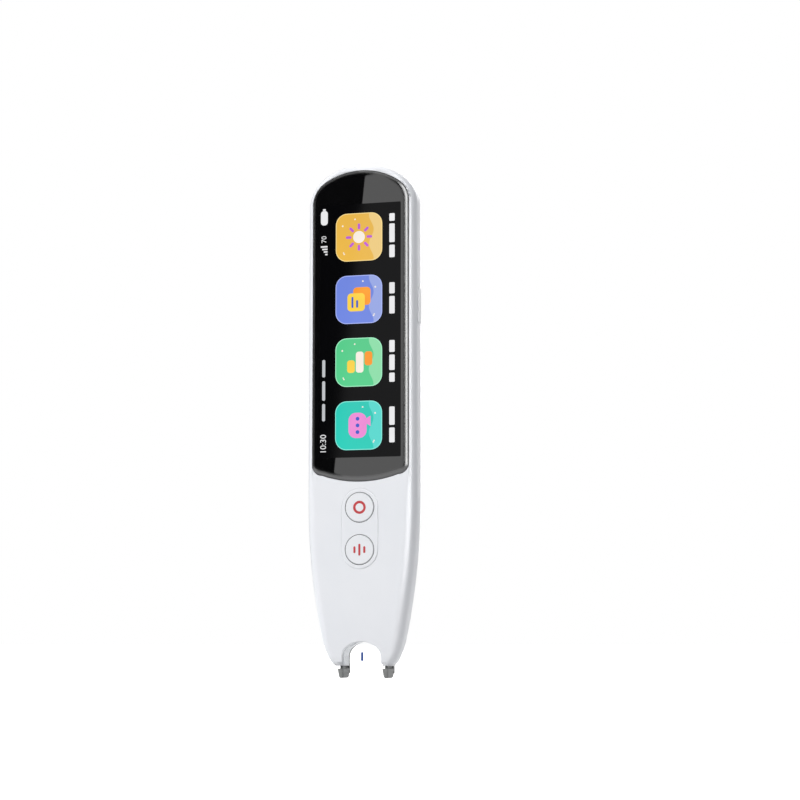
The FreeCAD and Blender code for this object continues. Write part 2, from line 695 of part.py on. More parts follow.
def main_board():
    """The circuit board that runs behind the display and the keys."""
    board = block(-BOARD_HALF, BOARD_HALF, BOARD_FRONT_Y, BOARD_BACK_Y, BOARD_BOTTOM, BOARD_TOP)
    corners = [e for e in board.Edges if e.BoundBox.YLength > BOARD_THICKNESS / 2]
    board = board.makeFillet(BOARD_CORNER, corners)
    socket_end = LENGTH - SOCKET_RECESS - SOCKET_LENGTH - FIT_GAP
    socket_half = SOCKET_WIDTH / 2 + FIT_GAP
    board = board.cut(block(-socket_half, socket_half, -DEPTH, DEPTH, socket_end, FAR))
    for z in SCREW_HEIGHTS:
        for x in (-SCREW_X, SCREW_X):
            hole = small_rod(SCREW_RADIUS + FIT_GAP, (x, -DEPTH, z), (0, 1, 0), FAR)
            board = board.cut(hole)
    return board


def board_screws():
    """Four small screws that hold the board to the front moulding's bosses."""
    screws = []
    for z in SCREW_HEIGHTS:
        for x in (-SCREW_X, SCREW_X):
            head = small_rod(SCREW_HEAD_RADIUS, (x, BOARD_BACK_Y, z), (0, 1, 0), SCREW_HEAD)
            shank = small_rod(SCREW_RADIUS, (x, BOARD_BACK_Y, z), (0, -1, 0),
                              BOARD_THICKNESS + SCREW_BITE)
            screws.append(head.fuse(shank).removeSplitter())
    return Part.makeCompound(screws)


def shield_can():
    """The folded metal cover over the board's processor."""
    top = BOARD_BACK_Y + SHIELD_HEIGHT
    can = block(-SHIELD_HALF, SHIELD_HALF, BOARD_BACK_Y, top, SHIELD_BOTTOM, SHIELD_TOP)
    inside = SHIELD_HALF - SHIELD_SHEET
    return can.cut(block(-inside, inside, BOARD_BACK_Y, top - SHIELD_SHEET,
                         SHIELD_BOTTOM + SHIELD_SHEET, SHIELD_TOP - SHIELD_SHEET))


def processor():
    """The chip under the shield can."""
    half = SHIELD_HALF - CHIP_MARGIN
    middle = (SHIELD_BOTTOM + SHIELD_TOP) / 2
    return block(-half, half, BOARD_BACK_Y, BOARD_BACK_Y + SHIELD_HEIGHT - 2 * SHIELD_SHEET,
                 middle - half, middle + half)


def battery():
    """The flat pouch cell, rounded along its long edges."""
    cell = block(-BATTERY_HALF, BATTERY_HALF, BATTERY_FRONT_Y, BATTERY_BACK_Y, BATTERY_BOTTOM, BATTERY_TOP)
    long_edges = [e for e in cell.Edges if e.BoundBox.ZLength > (BATTERY_TOP - BATTERY_BOTTOM) / 2]
    edge = min(BATTERY_EDGE, (BATTERY_BACK_Y - BATTERY_FRONT_Y) / 3)
    return cell.makeFillet(edge, long_edges)


def battery_pad():
    """The adhesive foam strip between the cell and the back moulding."""
    return block(-PAD_WIDTH / 2, PAD_WIDTH / 2, BATTERY_BACK_Y, INNER_BACK_Y,
                 BATTERY_BOTTOM + PAD_END_MARGIN, BATTERY_TOP - PAD_END_MARGIN)


def battery_guard_board():
    """The small protection board at the cell's top end."""
    half = BATTERY_HALF - BATTERY_EDGE
    y = (BATTERY_FRONT_Y + BATTERY_BACK_Y) / 2
    return block(-half, half, y, y + GUARD_BOARD_THICKNESS, BATTERY_TOP, BATTERY_TOP + GUARD_BOARD_LENGTH)


def speaker():
    """The round loudspeaker, with a shallow cone facing the grille."""
    back = INNER_BACK_Y
    can = rod(SPEAKER_RADIUS, (0, back - SPEAKER_THICKNESS, GRILLE_HEIGHT), (0, 1, 0), SPEAKER_THICKNESS)
    can = can.common(pen_body(WALL + FIT_GAP))
    cone = Part.makeCone(CONE_RADIUS / 2, CONE_RADIUS, CONE_DEPTH,
                         Vector(0, back - FIT_GAP - CONE_DEPTH, GRILLE_HEIGHT), Vector(0, 1, 0))
    return can.cut(cone)


def speaker_mesh():
    """The dust cloth behind the grille holes."""
    return rod(MESH_RADIUS, (0, INNER_BACK_Y, GRILLE_HEIGHT), (0, 1, 0), MESH_THICKNESS)


def microphone():
    """The small microphone behind the hole in the left side."""
    x = mic_face_x()
    return small_rod(MIC_RADIUS, (x, MIC_Y, MIC_HEIGHT), (1, 0, 0), MIC_THICKNESS)


def mic_face_x():
    """Where the microphone's face stands inside the left wall."""
    return MIC_SET_IN - half_width_at(MIC_HEIGHT, WALL)


def microphone_boot():
    """The rubber cup that seals the microphone to the wall."""
    radius = MIC_RADIUS + BOOT_WALL
    start = -WIDTH / 2
    length = mic_face_x() + MIC_THICKNESS - start
    boot = small_rod(radius, (start, MIC_Y, MIC_HEIGHT), (1, 0, 0), length)
    boot = boot.common(pen_body(WALL + THREAD_GAP))
    boot = boot.cut(small_rod(MIC_RADIUS, (mic_face_x(), MIC_Y, MIC_HEIGHT), (1, 0, 0), WIDTH))
    return boot.cut(small_rod(MIC_HOLE_RADIUS, (start, MIC_Y, MIC_HEIGHT), (1, 0, 0), WIDTH))


def antenna_strip():
    """The thin antenna stuck to the board's back, beside the battery's top."""
    return block(BOARD_HALF - ANTENNA_WIDTH, BOARD_HALF, BOARD_BACK_Y, BOARD_BACK_Y + ANTENNA_THICKNESS,
                 ANTENNA_BOTTOM, ANTENNA_BOTTOM + ANTENNA_LENGTH)


def usb_c_socket():
    """The charging socket: a folded metal mouth with its contact tongue."""
    top = LENGTH - SOCKET_RECESS
    low = top - SOCKET_LENGTH
    mouth = slot_prism(SOCKET_WIDTH, SOCKET_DEPTH, low, top)
    hollow = slot_prism(SOCKET_WIDTH - 2 * SOCKET_SHEET, SOCKET_DEPTH - 2 * SOCKET_SHEET,
                        low + SOCKET_BACK, top)
    tongue = block(-TONGUE_WIDTH / 2, TONGUE_WIDTH / 2, SOCKET_Y - TONGUE_DEPTH / 2,
                   SOCKET_Y + TONGUE_DEPTH / 2, low + SOCKET_BACK / 2, low + SOCKET_BACK + TONGUE_LENGTH)
    return mouth.cut(hollow).fuse(tongue)


def key_surround():
    """The raised pill round the two keys, seated in the front moulding."""
    front = -HALF_DEPTH - ISLAND_PROUD
    pill = pill_prism(ISLAND_HALF, ISLAND_LOW, ISLAND_HIGH, front, -HALF_DEPTH + ISLAND_INSET)
    pill = pill.makeChamfer(ISLAND_PROUD, edges_on_plane(pill, "Y", front))
    for z in KEY_HEIGHTS:
        pill = pill.cut(rod(KEY_DIAMETER / 2 + KEY_HOLE_GAP, (0, -DEPTH, z), (0, 1, 0), DEPTH))
    return pill


def round_key(z):
    """A front key: a round cap, a flange behind the wall and a stem to its switch."""
    cap = rod(KEY_DIAMETER / 2, (0, KEY_FRONT_Y, z), (0, 1, 0), INNER_FRONT_Y - KEY_FRONT_Y)
    cap = cap.makeChamfer(KEY_EDGE, edges_on_plane(cap, "Y", KEY_FRONT_Y))
    flange = rod(KEY_DIAMETER / 2 + KEY_FLANGE, (0, INNER_FRONT_Y, z), (0, 1, 0), KEY_FLANGE_THICKNESS)
    stem_end = SWITCH_FACE_Y - KEY_TRAVEL - THREAD_GAP
    stem = small_rod(STEM_RADIUS, (0, INNER_FRONT_Y, z), (0, 1, 0), stem_end - INNER_FRONT_Y)
    return cap.fuse([flange, stem]).removeSplitter()


def board_switch(z):
    """A tactile switch on the board's front."""
    half = SWITCH_SIDE / 2
    return block(-half, half, SWITCH_FACE_Y, BOARD_FRONT_Y, z - half, z + half)


def power_key():
    """The slim key in the right side, with a flange that keeps it in."""
    bar = power_key_slot(0)
    outside = HALF_WIDTH + POWER_KEY_PROUD
    inside = HALF_WIDTH - WALL
    reach = POWER_KEY_LENGTH / 2 + KEY_FLANGE
    half = POWER_KEY_WIDTH / 2 + KEY_FLANGE / 2
    bar = bar.common(block(inside, outside, -DEPTH, DEPTH, 0, FAR))
    bar = bar.makeChamfer(KEY_EDGE, edges_on_plane(bar, "X", outside))
    flange = block(inside - KEY_FLANGE_THICKNESS, inside, POWER_KEY_Y - half, POWER_KEY_Y + half,
                   POWER_KEY_HEIGHT - reach, POWER_KEY_HEIGHT + reach)
    return bar.fuse(flange).removeSplitter()


def power_switch():
    """The side-acting switch on the board's edge, reached by the power key."""
    outside = HALF_WIDTH - WALL - KEY_FLANGE_THICKNESS - KEY_TRAVEL - THREAD_GAP
    return block(BOARD_HALF - SWITCH_SIDE / 2, outside, BOARD_BACK_Y, BOARD_BACK_Y + SWITCH_HEIGHT,
                 POWER_KEY_HEIGHT - SWITCH_SIDE / 2, POWER_KEY_HEIGHT + SWITCH_SIDE / 2)


def scan_window():
    """The clear plate at the front of the tunnel, held in two grooves."""
    grow = WINDOW_GROOVE - WINDOW_GAP
    return arch_prism(TUNNEL_HALF + grow, WINDOW_BOTTOM, TUNNEL_TOP + grow,
                      TUNNEL_ARCH + grow, WINDOW_Y, WINDOW_Y + WINDOW_THICKNESS)


def trigger_foot():
    """One prong's foot below the shell, narrower towards the paper."""
    wires = []
    for z, share in ((FOOT_TOP, 1.0), (0.0, FOOT_TAPER)):
        half = FOOT_THICKNESS / 2 * share
        deep = FOOT_HALF_DEPTH * share
        corners = [(-half, -deep), (half, -deep), (half, deep), (-half, deep), (-half, -deep)]
        wires.append(Part.makePolygon([Vector(PRONG_X + x, y, z) for x, y in corners]))
    foot = Part.makeLoft(wires, True, True)
    return foot.makeChamfer(FOOT_EDGE, [e for e in foot.Edges if e.BoundBox.ZMin < FOOT_TOP / 2])


def trigger_frame():
    """The sliding arch at the back of the nose, its prongs, necks and spring tabs."""
    half = TRIM_HALF + TRIM_OVERLAP
    top = TRIM_TOP + TRIM_OVERLAP
    inside_y = TRIM_FRONT_Y + WALL / 2
    band = arch_prism(half, FOOT_TOP / 2, top, TRIM_ARCH + TRIM_OVERLAP, TRIM_FRONT_Y, DEPTH)
    band = band.cut(arch_prism(TUNNEL_HALF, 0, TUNNEL_TOP + TRIM_GAP, TUNNEL_ARCH, 0, DEPTH))
    band = band.common(pen_body(TRIM_SKIN + TRIM_GAP))
    neck_half = NECK_THICKNESS / 2
    neck = block(PRONG_X - neck_half, PRONG_X + neck_half, -NECK_DEPTH / 2, inside_y,
                 FOOT_TOP / 2, NECK_TOP)
    leg = block(TUNNEL_HALF, TUNNEL_HALF + FOOT_THICKNESS, TRIM_FRONT_Y, FOOT_HALF_DEPTH * LEG_SHARE,
                FOOT_TOP / 2, NOSE_BOTTOM + NOSE_EDGE_HEIGHT)
    tab_x = TUNNEL_HALF - TAB_REACH
    tab = block(tab_x, tab_x + TAB_WIDTH, TAB_FRONT_Y, inside_y, CAVITY_FLOOR, top)
    tab = tab.common(pen_body(WALL + FIT_GAP))
    right = trigger_foot().fuse([neck, leg, tab])
    return band.fuse([right, mirrored(right)]).removeSplitter()


def trigger_springs():
    """Two coil springs of square wire that push the trigger frame down."""
    low = TRIM_TOP + TRIM_OVERLAP + SPRING_WIRE / 2
    rise = HOLDER_BOTTOM - low - SPRING_WIRE / 2
    count = SPRING_TURNS * SPRING_STEPS
    springs = []
    for x in (-SPRING_X, SPRING_X):
        wires = []
        for i in range(count + 1):
            angle = 2 * math.pi * i / SPRING_STEPS
            across = Vector(math.cos(angle), math.sin(angle), 0)
            middle = Vector(x, SPRING_Y, low + rise * i / count)
            wires.append(Part.makePolygon([
                middle + across * radius + Vector(0, 0, height)
                for radius, height in wire_corners()
            ]))
        springs.append(Part.makeLoft(wires, True, True))
    return Part.makeCompound(springs)


def wire_corners():
    """The square section of the spring wire, as distances from the coil's axis and heights."""
    near = SPRING_RADIUS - SPRING_WIRE
    half = SPRING_WIRE / 2
    return [(near, -half), (SPRING_RADIUS, -half), (SPRING_RADIUS, half), (near, half), (near, -half)]


def camera_holder():
    """The cross bar over the nose that carries the camera and backs the springs."""
    half = HOLDER_WIDTH / 2
    front = CAMERA_Y - HOLDER_FRONT_REACH
    back = SPRING_Y + SPRING_RADIUS + FIT_GAP
    bar = block(-half, half, front, back, HOLDER_BOTTOM, HOLDER_TOP)
    for x in (-half, half):
        side = block(x - WALL / 2, x + WALL / 2, front, TAB_FRONT_Y - TRIM_GAP, CAVITY_FLOOR, HOLDER_TOP)
        bar = bar.fuse(side)
    bar = bar.common(pen_body(WALL + FIT_GAP))
    bar = bar.cut(rod(BARREL_RADIUS + FIT_GAP, (0, CAMERA_Y, 0), (0, 0, 1), FAR))
    return bar.removeSplitter()


def camera_module():
    """The camera's barrel and its square body above the holder."""
    low = CAVITY_FLOOR + LIGHT_BOARD + FIT_GAP
    barrel = rod(BARREL_RADIUS, (0, CAMERA_Y, low), (0, 0, 1), HOLDER_TOP - low)
    side = BARREL_RADIUS + FIT_GAP * 2
    body = block(-side, side, CAMERA_Y - side + FIT_GAP * 2, CAMERA_Y + side,
                 HOLDER_TOP, HOLDER_TOP + CAMERA_BODY)
    seat = rod(LENS_RADIUS, (0, CAMERA_Y, low), (0, 0, 1), LENS_THICKNESS)
    return barrel.fuse(body).cut(seat).removeSplitter()


def camera_lens():
    """The small lens in the barrel's mouth."""
    low = CAVITY_FLOOR + LIGHT_BOARD + FIT_GAP
    return rod(LENS_RADIUS, (0, CAMERA_Y, low), (0, 0, 1), LENS_THICKNESS)


def scan_light_board():
    """The board round the camera's mouth that carries the two lights."""
    half = LIGHT_BOARD_WIDTH / 2
    y0 = CAMERA_Y - LIGHT_BOARD_DEPTH / 2
    board = block(-half, half, y0, y0 + LIGHT_BOARD_DEPTH, CAVITY_FLOOR, CAVITY_FLOOR + LIGHT_BOARD)
    return board.cut(rod(LENS_RADIUS + FIT_GAP, (0, CAMERA_Y, 0), (0, 0, 1), FAR))


def scan_lights():
    """Two light-emitting diodes that look down into the tunnel."""
    lights = []
    low = CAVITY_FLOOR - LED_LENGTH
    for x in (-LED_X, LED_X):
        body = small_rod(LED_RADIUS, (x, CAMERA_Y, low), (0, 0, 1), LED_LENGTH)
        lights.append(body.makeChamfer(LED_EDGE, edges_on_plane(body, "Z", low)))
    return Part.makeCompound(lights)


def trigger_switch():
    """The switch under the holder that the right spring tab presses."""
    low = TRIM_TOP + TRIM_OVERLAP + TRIGGER_TRAVEL + THREAD_GAP
    x0 = SPRING_X + SPRING_RADIUS + FIT_GAP
    return block(x0, x0 + SPRING_RADIUS, TAB_FRONT_Y, TAB_FRONT_Y + SPRING_RADIUS, low, HOLDER_BOTTOM)


PARTS = {
    "front_shell": front_shell,
    "rear_shell": rear_shell,
    "cover_glass": cover_glass,
    "display_panel": display_panel,
    "display_tray": display_tray,
    "display_flex": display_flex,
    "main_board": main_board,
    "board_screws": board_screws,
    "shield_can": shield_can,
    "processor": processor,
    "battery": battery,
    "battery_pad": battery_pad,
    "battery_guard_board": battery_guard_board,
    "speaker": speaker,
    "speaker_mesh": speaker_mesh,
    "microphone": microphone,
    "microphone_boot": microphone_boot,
    "antenna_strip": antenna_strip,
    "usb_c_socket": usb_c_socket,
    "key_surround": key_surround,
    "ring_key": lambda: round_key(KEY_HEIGHTS[0]),
    "talk_key": lambda: round_key(KEY_HEIGHTS[1]),
    "ring_key_switch": lambda: board_switch(KEY_HEIGHTS[0]),
    "talk_key_switch": lambda: board_switch(KEY_HEIGHTS[1]),
    "power_key": power_key,
    "power_switch": power_switch,
    "scan_window": scan_window,
    "trigger_frame": trigger_frame,
    "trigger_springs": trigger_springs,
    "trigger_switch": trigger_switch,
    "camera_holder": camera_holder,
    "camera_module": camera_module,
    "camera_lens": camera_lens,
    "scan_light_board": scan_light_board,
    "scan_lights": scan_lights,
}

os.makedirs("parts", exist_ok=True)
for name, make in PARTS.items():
    shape = make()
    shape.translate(Vector(0, 0, -GRIP_HEIGHT))
    shape.exportStep("parts/" + name + ".step")
    box = shape.BoundBox
    print(name, len(shape.Solids), "solid(s)", shape.isValid(), round(shape.Volume, 1), "mm3",
          [round(v, 2) for v in (box.XMin, box.XMax, box.YMin, box.YMax, box.ZMin, box.ZMax)])
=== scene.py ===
# %% [markdown]
# A pen-shaped handheld translator
#
# The moulded pieces come from the imported model, at their real size and place. This script gives them
# their finishes, lights the display, prints the marks on the keys and sets the camera for the picture.
# Everything is in metres, so the script speaks of millimetres through one small constant.

# %% Load the frame
import json
import math

import bpy
from mathutils import Matrix, Vector

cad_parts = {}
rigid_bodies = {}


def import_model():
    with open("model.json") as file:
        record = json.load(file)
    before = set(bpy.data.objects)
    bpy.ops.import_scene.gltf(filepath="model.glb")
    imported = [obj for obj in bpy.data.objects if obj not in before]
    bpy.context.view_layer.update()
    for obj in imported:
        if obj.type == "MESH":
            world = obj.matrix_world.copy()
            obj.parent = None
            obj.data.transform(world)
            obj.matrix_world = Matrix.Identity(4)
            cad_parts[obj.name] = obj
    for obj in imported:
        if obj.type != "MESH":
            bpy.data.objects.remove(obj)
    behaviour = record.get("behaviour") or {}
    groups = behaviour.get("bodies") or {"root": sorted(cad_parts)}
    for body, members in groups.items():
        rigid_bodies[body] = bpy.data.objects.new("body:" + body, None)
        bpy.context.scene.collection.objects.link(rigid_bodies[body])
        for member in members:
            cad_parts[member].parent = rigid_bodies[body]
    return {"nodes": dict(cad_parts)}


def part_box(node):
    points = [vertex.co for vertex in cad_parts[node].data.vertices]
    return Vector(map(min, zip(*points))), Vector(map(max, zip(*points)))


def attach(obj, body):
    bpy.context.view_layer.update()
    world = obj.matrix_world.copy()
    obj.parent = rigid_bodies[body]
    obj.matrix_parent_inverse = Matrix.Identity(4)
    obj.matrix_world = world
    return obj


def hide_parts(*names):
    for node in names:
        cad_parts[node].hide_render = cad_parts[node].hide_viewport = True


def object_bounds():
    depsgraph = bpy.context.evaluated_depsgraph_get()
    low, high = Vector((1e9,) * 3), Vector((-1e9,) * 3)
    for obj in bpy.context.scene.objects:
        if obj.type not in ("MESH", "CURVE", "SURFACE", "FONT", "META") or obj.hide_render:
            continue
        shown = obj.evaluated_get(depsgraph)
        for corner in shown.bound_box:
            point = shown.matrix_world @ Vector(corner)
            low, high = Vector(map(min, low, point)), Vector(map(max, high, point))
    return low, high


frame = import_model()
cad_low, cad_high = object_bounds()
MM = 0.001
nodes = frame["nodes"]

# %% [markdown]
# Places read from the frame
#
# A screen graphic or a key mark has to sit on the piece that carries it. Typing its place would break
# as soon as a piece moves, so every place is read from the node's own box.

# %% Read the places
glass_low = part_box("cover_glass")[0]
panel_low, panel_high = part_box("display_panel")
tips_z = cad_low.z
GLASS_FACE = glass_low.y
PANEL_MARGIN_SIDE = 1.05 * MM
PANEL_MARGIN_TOP = 2.55 * MM
PANEL_MARGIN_FOOT = 0.45 * MM
screen_low = Vector((panel_low.x + PANEL_MARGIN_SIDE, GLASS_FACE, panel_low.z + PANEL_MARGIN_FOOT))
screen_high = Vector((panel_high.x - PANEL_MARGIN_SIDE, GLASS_FACE, panel_high.z - PANEL_MARGIN_TOP))
screen_width = screen_high.x - screen_low.x
screen_length = screen_high.z - screen_low.z
print("lit area, mm:", round(screen_width / MM, 1), "by", round(screen_length / MM, 1))

# %% [markdown]
# Small helpers for operators
#
# An operator works on whatever is selected, and the loaded nodes start out selected. So each new
# piece begins with nothing selected and becomes the only active object. A finished piece keeps its
# place in its mesh: its transform is applied, and its object sits at the origin.

# %% Selection helpers
def nothing_selected():
    """Clears the selection, so that the next operator works on its own piece only."""
    bpy.ops.object.select_all(action="DESELECT")


def pick(piece):
    """Selects one piece alone and makes it the active one."""
    nothing_selected()
    piece.select_set(True)
    bpy.context.view_layer.objects.active = piece


def apply_place(piece):
    """Moves a piece's place, turn and scale into its mesh."""
    pick(piece)
    bpy.ops.object.transform_apply(location=True, rotation=True, scale=True)


def finish_piece(piece, name, material, body="pen"):
    """Names a piece, gives it its finish and lets it ride on its body."""
    piece.name = name
    piece.data.name = name
    piece.data.materials.clear()
    piece.data.materials.append(material)
    apply_place(piece)
    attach(piece, body)


# %% [markdown]
# Smooth copies of the moulded pieces
#
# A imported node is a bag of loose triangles, so it can only be shaded flat. A copy whose doubled
# corners are merged can be shaded smooth, and only edges sharper than 30 degrees stay crisp.
# Triangles that lie in one plane are dissolved into one face, and a Weighted Normal modifier lets the
# large faces decide the shading, so that a flat face really shades flat. The node itself stays as it
# is, for the motion model, and the copy is shown in its place.

# %% Smooth copies
CRISP = math.radians(30)
MERGE_DISTANCE = 0.002 * MM
ONE_PLANE = math.radians(0.05)


def smooth_copy(node_name, body):
    """A merged, smoothly shaded copy of a node, shown in its place."""
    node = nodes[node_name]
    nothing_selected()
    node.select_set(True)
    bpy.context.view_layer.objects.active = node
    bpy.ops.object.duplicate()
    copy = bpy.context.active_object
    bpy.ops.object.parent_clear(type="CLEAR_KEEP_TRANSFORM")
    bpy.ops.object.mode_set(mode="EDIT")
    bpy.ops.mesh.select_all(action="SELECT")
    bpy.ops.mesh.remove_doubles(threshold=MERGE_DISTANCE)
    bpy.ops.mesh.normals_make_consistent(inside=False)
    bpy.ops.mesh.dissolve_limited(angle_limit=ONE_PLANE)
    bpy.ops.object.mode_set(mode="OBJECT")
    bpy.ops.object.shade_smooth_by_angle(angle=CRISP)
    bpy.ops.object.modifier_add(type="WEIGHTED_NORMAL")
    weighted = copy.modifiers[-1]
    weighted.keep_sharp = True
    weighted.weight = 100
    bpy.ops.object.modifier_apply(modifier=weighted.name)
    copy.name = node_name + "_smooth"
    apply_place(copy)
    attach(copy, body)
    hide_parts(node_name)
    print(copy.name, len(copy.data.polygons), "faces")
    return copy


smooth = {name: smooth_copy(name, body) for name, body, slot in (
    ("front_shell", "pen", "white_shell"),
    ("rear_shell", "pen", "white_shell"),
    ("key_surround", "pen", "white_shell"),
    ("cover_glass", "pen", "black_glass"),
    ("ring_key", "ring_button", "key_white"),
    ("talk_key", "talk_button", "key_white"),
    ("power_key", "power_button", "key_white"),
    ("trigger_frame", "trigger", "grey_trim"),
)}


def paint(names, material):
    """Gives a finish to nodes, or to their smooth copies where there are any."""
    for name in names:
        mesh = smooth.get(name, nodes[name]).data
        mesh.materials.clear()
        mesh.materials.append(material)


# %% [markdown]
# Flat shapes with a little thickness
#
# The display's tiles, bars and dots are printed-looking shapes, but a shape of no thickness has no
# edge and no back. Each one starts as a plane or a circle that faces the reader, has its corners
# beveled, and is then extruded. A bevel on vertices turns a rectangle into a rounded one, which is
# quicker than drawing arcs.

# %% Flat shapes
CORNER_SEGMENTS = 7


def turned(turn):
    """The rotation of a shape that faces the reader and is turned in its own plane."""
    return (Matrix.Rotation(turn, 3, "Y") @ Matrix.Rotation(math.pi / 2, 3, "X")).to_euler()


def thicken(thickness):
    """Extrudes what is selected in edit mode towards the reader and closes it."""
    bpy.ops.mesh.extrude_region_move(TRANSFORM_OT_translate={"value": (0.0, -thickness, 0.0)})
    bpy.ops.mesh.select_all(action="SELECT")
    bpy.ops.mesh.normals_make_consistent(inside=False)
    bpy.ops.object.mode_set(mode="OBJECT")


def rounded_plate(x, z, width, height, radius, back_y, thickness, turn=0.0):
    """A plate with rounded corners: a plane, its corners beveled, then extruded."""
    nothing_selected()
    bpy.ops.mesh.primitive_plane_add(size=1.0, location=(x, back_y, z), rotation=turned(turn))
    plate = bpy.context.active_object
    plate.scale = (width, height, 1.0)
    apply_place(plate)
    bpy.ops.object.mode_set(mode="EDIT")
    bpy.ops.mesh.select_all(action="SELECT")
    if radius > 0:
        bpy.ops.mesh.bevel(offset=radius, offset_type="OFFSET", segments=CORNER_SEGMENTS,
                           affect="VERTICES")
        bpy.ops.mesh.select_all(action="SELECT")
    thicken(thickness)
    return plate


def flat_disc(x, z, radius, back_y, thickness, sides=40, turn=0.0):
    """A disc, or a polygon of few sides: a filled circle, then extruded."""
    nothing_selected()
    bpy.ops.mesh.primitive_circle_add(
        vertices=sides, radius=radius, fill_type="NGON", location=(x, back_y, z), rotation=turned(turn)
    )
    disc = bpy.context.active_object
    apply_place(disc)
    bpy.ops.object.mode_set(mode="EDIT")
    bpy.ops.mesh.select_all(action="SELECT")
    thicken(thickness)
    return disc


def flat_ring(x, z, outer, inner, back_y, thickness, sides=64):
    """A washer shape: a circle, inset by its stroke, with the middle deleted."""
    nothing_selected()
    bpy.ops.mesh.primitive_circle_add(
        vertices=sides, radius=outer, fill_type="NGON", location=(x, back_y, z), rotation=turned(0.0)
    )
    ring = bpy.context.active_object
    apply_place(ring)
    bpy.ops.object.mode_set(mode="EDIT")
    bpy.ops.mesh.select_all(action="SELECT")
    bpy.ops.mesh.inset(thickness=outer - inner, depth=0.0)
    bpy.ops.mesh.delete(type="FACE")
    bpy.ops.mesh.select_all(action="SELECT")
    thicken(thickness)
    return ring


def joined(pieces):
    """Makes several flat shapes one piece."""
    nothing_selected()
    for piece in pieces:
        piece.select_set(True)
    bpy.context.view_layer.objects.active = pieces[0]
    if len(pieces) > 1:
        bpy.ops.object.join()
    return pieces[0]


# %% [markdown]
# Helpers for node materials
#
# A finish is a small graph. These helpers add a node, set its sockets and link them by name, so that
# each material below reads as a list of what the surface does. A pattern reads Object coordinates, so
# it keeps its real size and moves with its piece.

# %% Node helpers
NOISE_COMMON_LOW = 0.3
NOISE_COMMON_HIGH = 0.7


def new_material(name):
    """A material with its node tree and its main shader."""
    material = bpy.data.materials.new(name)
    material.use_nodes = True
    tree = material.node_tree
    shader = tree.nodes["Principled BSDF"]
    return material, tree, shader


def add(tree, kind, settings=None, **sockets):
    """A node of one kind, with its settings, and its sockets linked or set by name."""
    node = tree.nodes.new(kind)
    for key, value in (settings or {}).items():
        setattr(node, key, value)
    for key, value in sockets.items():
        name = key.replace("_", " ")
        if isinstance(value, bpy.types.NodeSocket):
            tree.links.new(value, node.inputs[name])
        else:
            node.inputs[name].default_value = value
    return node


def place_of(tree):
    """The point of the surface, in the piece's own coordinates."""
    return add(tree, "ShaderNodeTexCoord").outputs["Object"]


def noise(tree, size, detail=3.0, roughness=0.5, vector=None):
    """Noise whose blobs are about size metres across."""
    source = vector or place_of(tree)
    node = add(tree, "ShaderNodeTexNoise", None, Vector=source, Scale=1.0 / size, Detail=detail,
               Roughness=roughness)
    return node.outputs["Fac"]


def spread(tree, value, low, high):
    """Stretches noise, which stays mostly between the two common values, to a range of its own."""
    node = add(tree, "ShaderNodeMapRange", None, Value=value)
    node.inputs["From Min"].default_value = NOISE_COMMON_LOW
    node.inputs["From Max"].default_value = NOISE_COMMON_HIGH
    node.inputs["To Min"].default_value = low
    node.inputs["To Max"].default_value = high
    return node.outputs["Result"]


def between(tree, factor, first, second):
    """A colour between two colours."""
    node = add(tree, "ShaderNodeMix", {"data_type": "RGBA"})
    tree.links.new(factor, node.inputs[0])
    for socket, value in ((node.inputs[6], first), (node.inputs[7], second)):
        if isinstance(value, bpy.types.NodeSocket):
            tree.links.new(value, socket)
        else:
            socket.default_value = (*value, 1.0)
    return node.outputs[2]


def maths(tree, operation, first, second=None):
    """One step of arithmetic on node values or plain numbers."""
    node = add(tree, "ShaderNodeMath", {"operation": operation})
    for socket, value in zip(node.inputs, (first, second)):
        if isinstance(value, bpy.types.NodeSocket):
            tree.links.new(value, socket)
        elif value is not None:
            socket.default_value = value
    return node.outputs[0]


def bumped(tree, shader, height, distance, strength=1.0, edge=None):
    """Fine relief on the shader's normal, over softly rounded edges if edge is given."""
    node = add(tree, "ShaderNodeBump", None, Height=height, Distance=distance, Strength=strength)
    if edge:
        soft = add(tree, "ShaderNodeBevel", {"samples": 6}, Radius=edge)
        tree.links.new(soft.outputs["Normal"], node.inputs["Normal"])
    tree.links.new(node.outputs["Normal"], shader.inputs["Normal"])


def linear(red, green, blue):
    """The shader's linear colour for a screen colour given from 0 to 255."""
    out = []
    for value in (red, green, blue):
        share = value / 255
        out.append(share / 12.92 if share <= 0.04045 else ((share + 0.055) / 1.055) ** 2.4)
    return tuple(out)


# %% [markdown]
# The white moulded plastic
#
# The housing is injection-moulded plastic with a very fine spark-eroded grain, so it looks satin and
# not mirror-like. Its grain is noise a tenth of a millimetre across, which also unsettles the
# roughness. A second, broad noise shifts the colour by a hair, as a real moulding's thickness does. A
# Bevel node rounds the mould's edges, which are about a quarter of a millimetre.

# %% White plastic
def moulded_plastic(name, colour, shade, roughness, grain, edge):
    """Satin plastic with a fine grain, a faint drift of colour and softly rounded edges."""
    material, tree, shader = new_material(name)
    broad = spread(tree, noise(tree, 18 * MM, 2.0), 0.0, 1.0)
    tree.links.new(between(tree, broad, colour, shade), shader.inputs["Base Color"])
    fine = noise(tree, grain, 4.0, 0.6)
    tree.links.new(spread(tree, fine, roughness - 0.05, roughness + 0.06), shader.inputs["Roughness"])
    shader.inputs["IOR"].default_value = 1.49
    bumped(tree, shader, fine, 0.004 * MM, 0.35, edge)
    return material


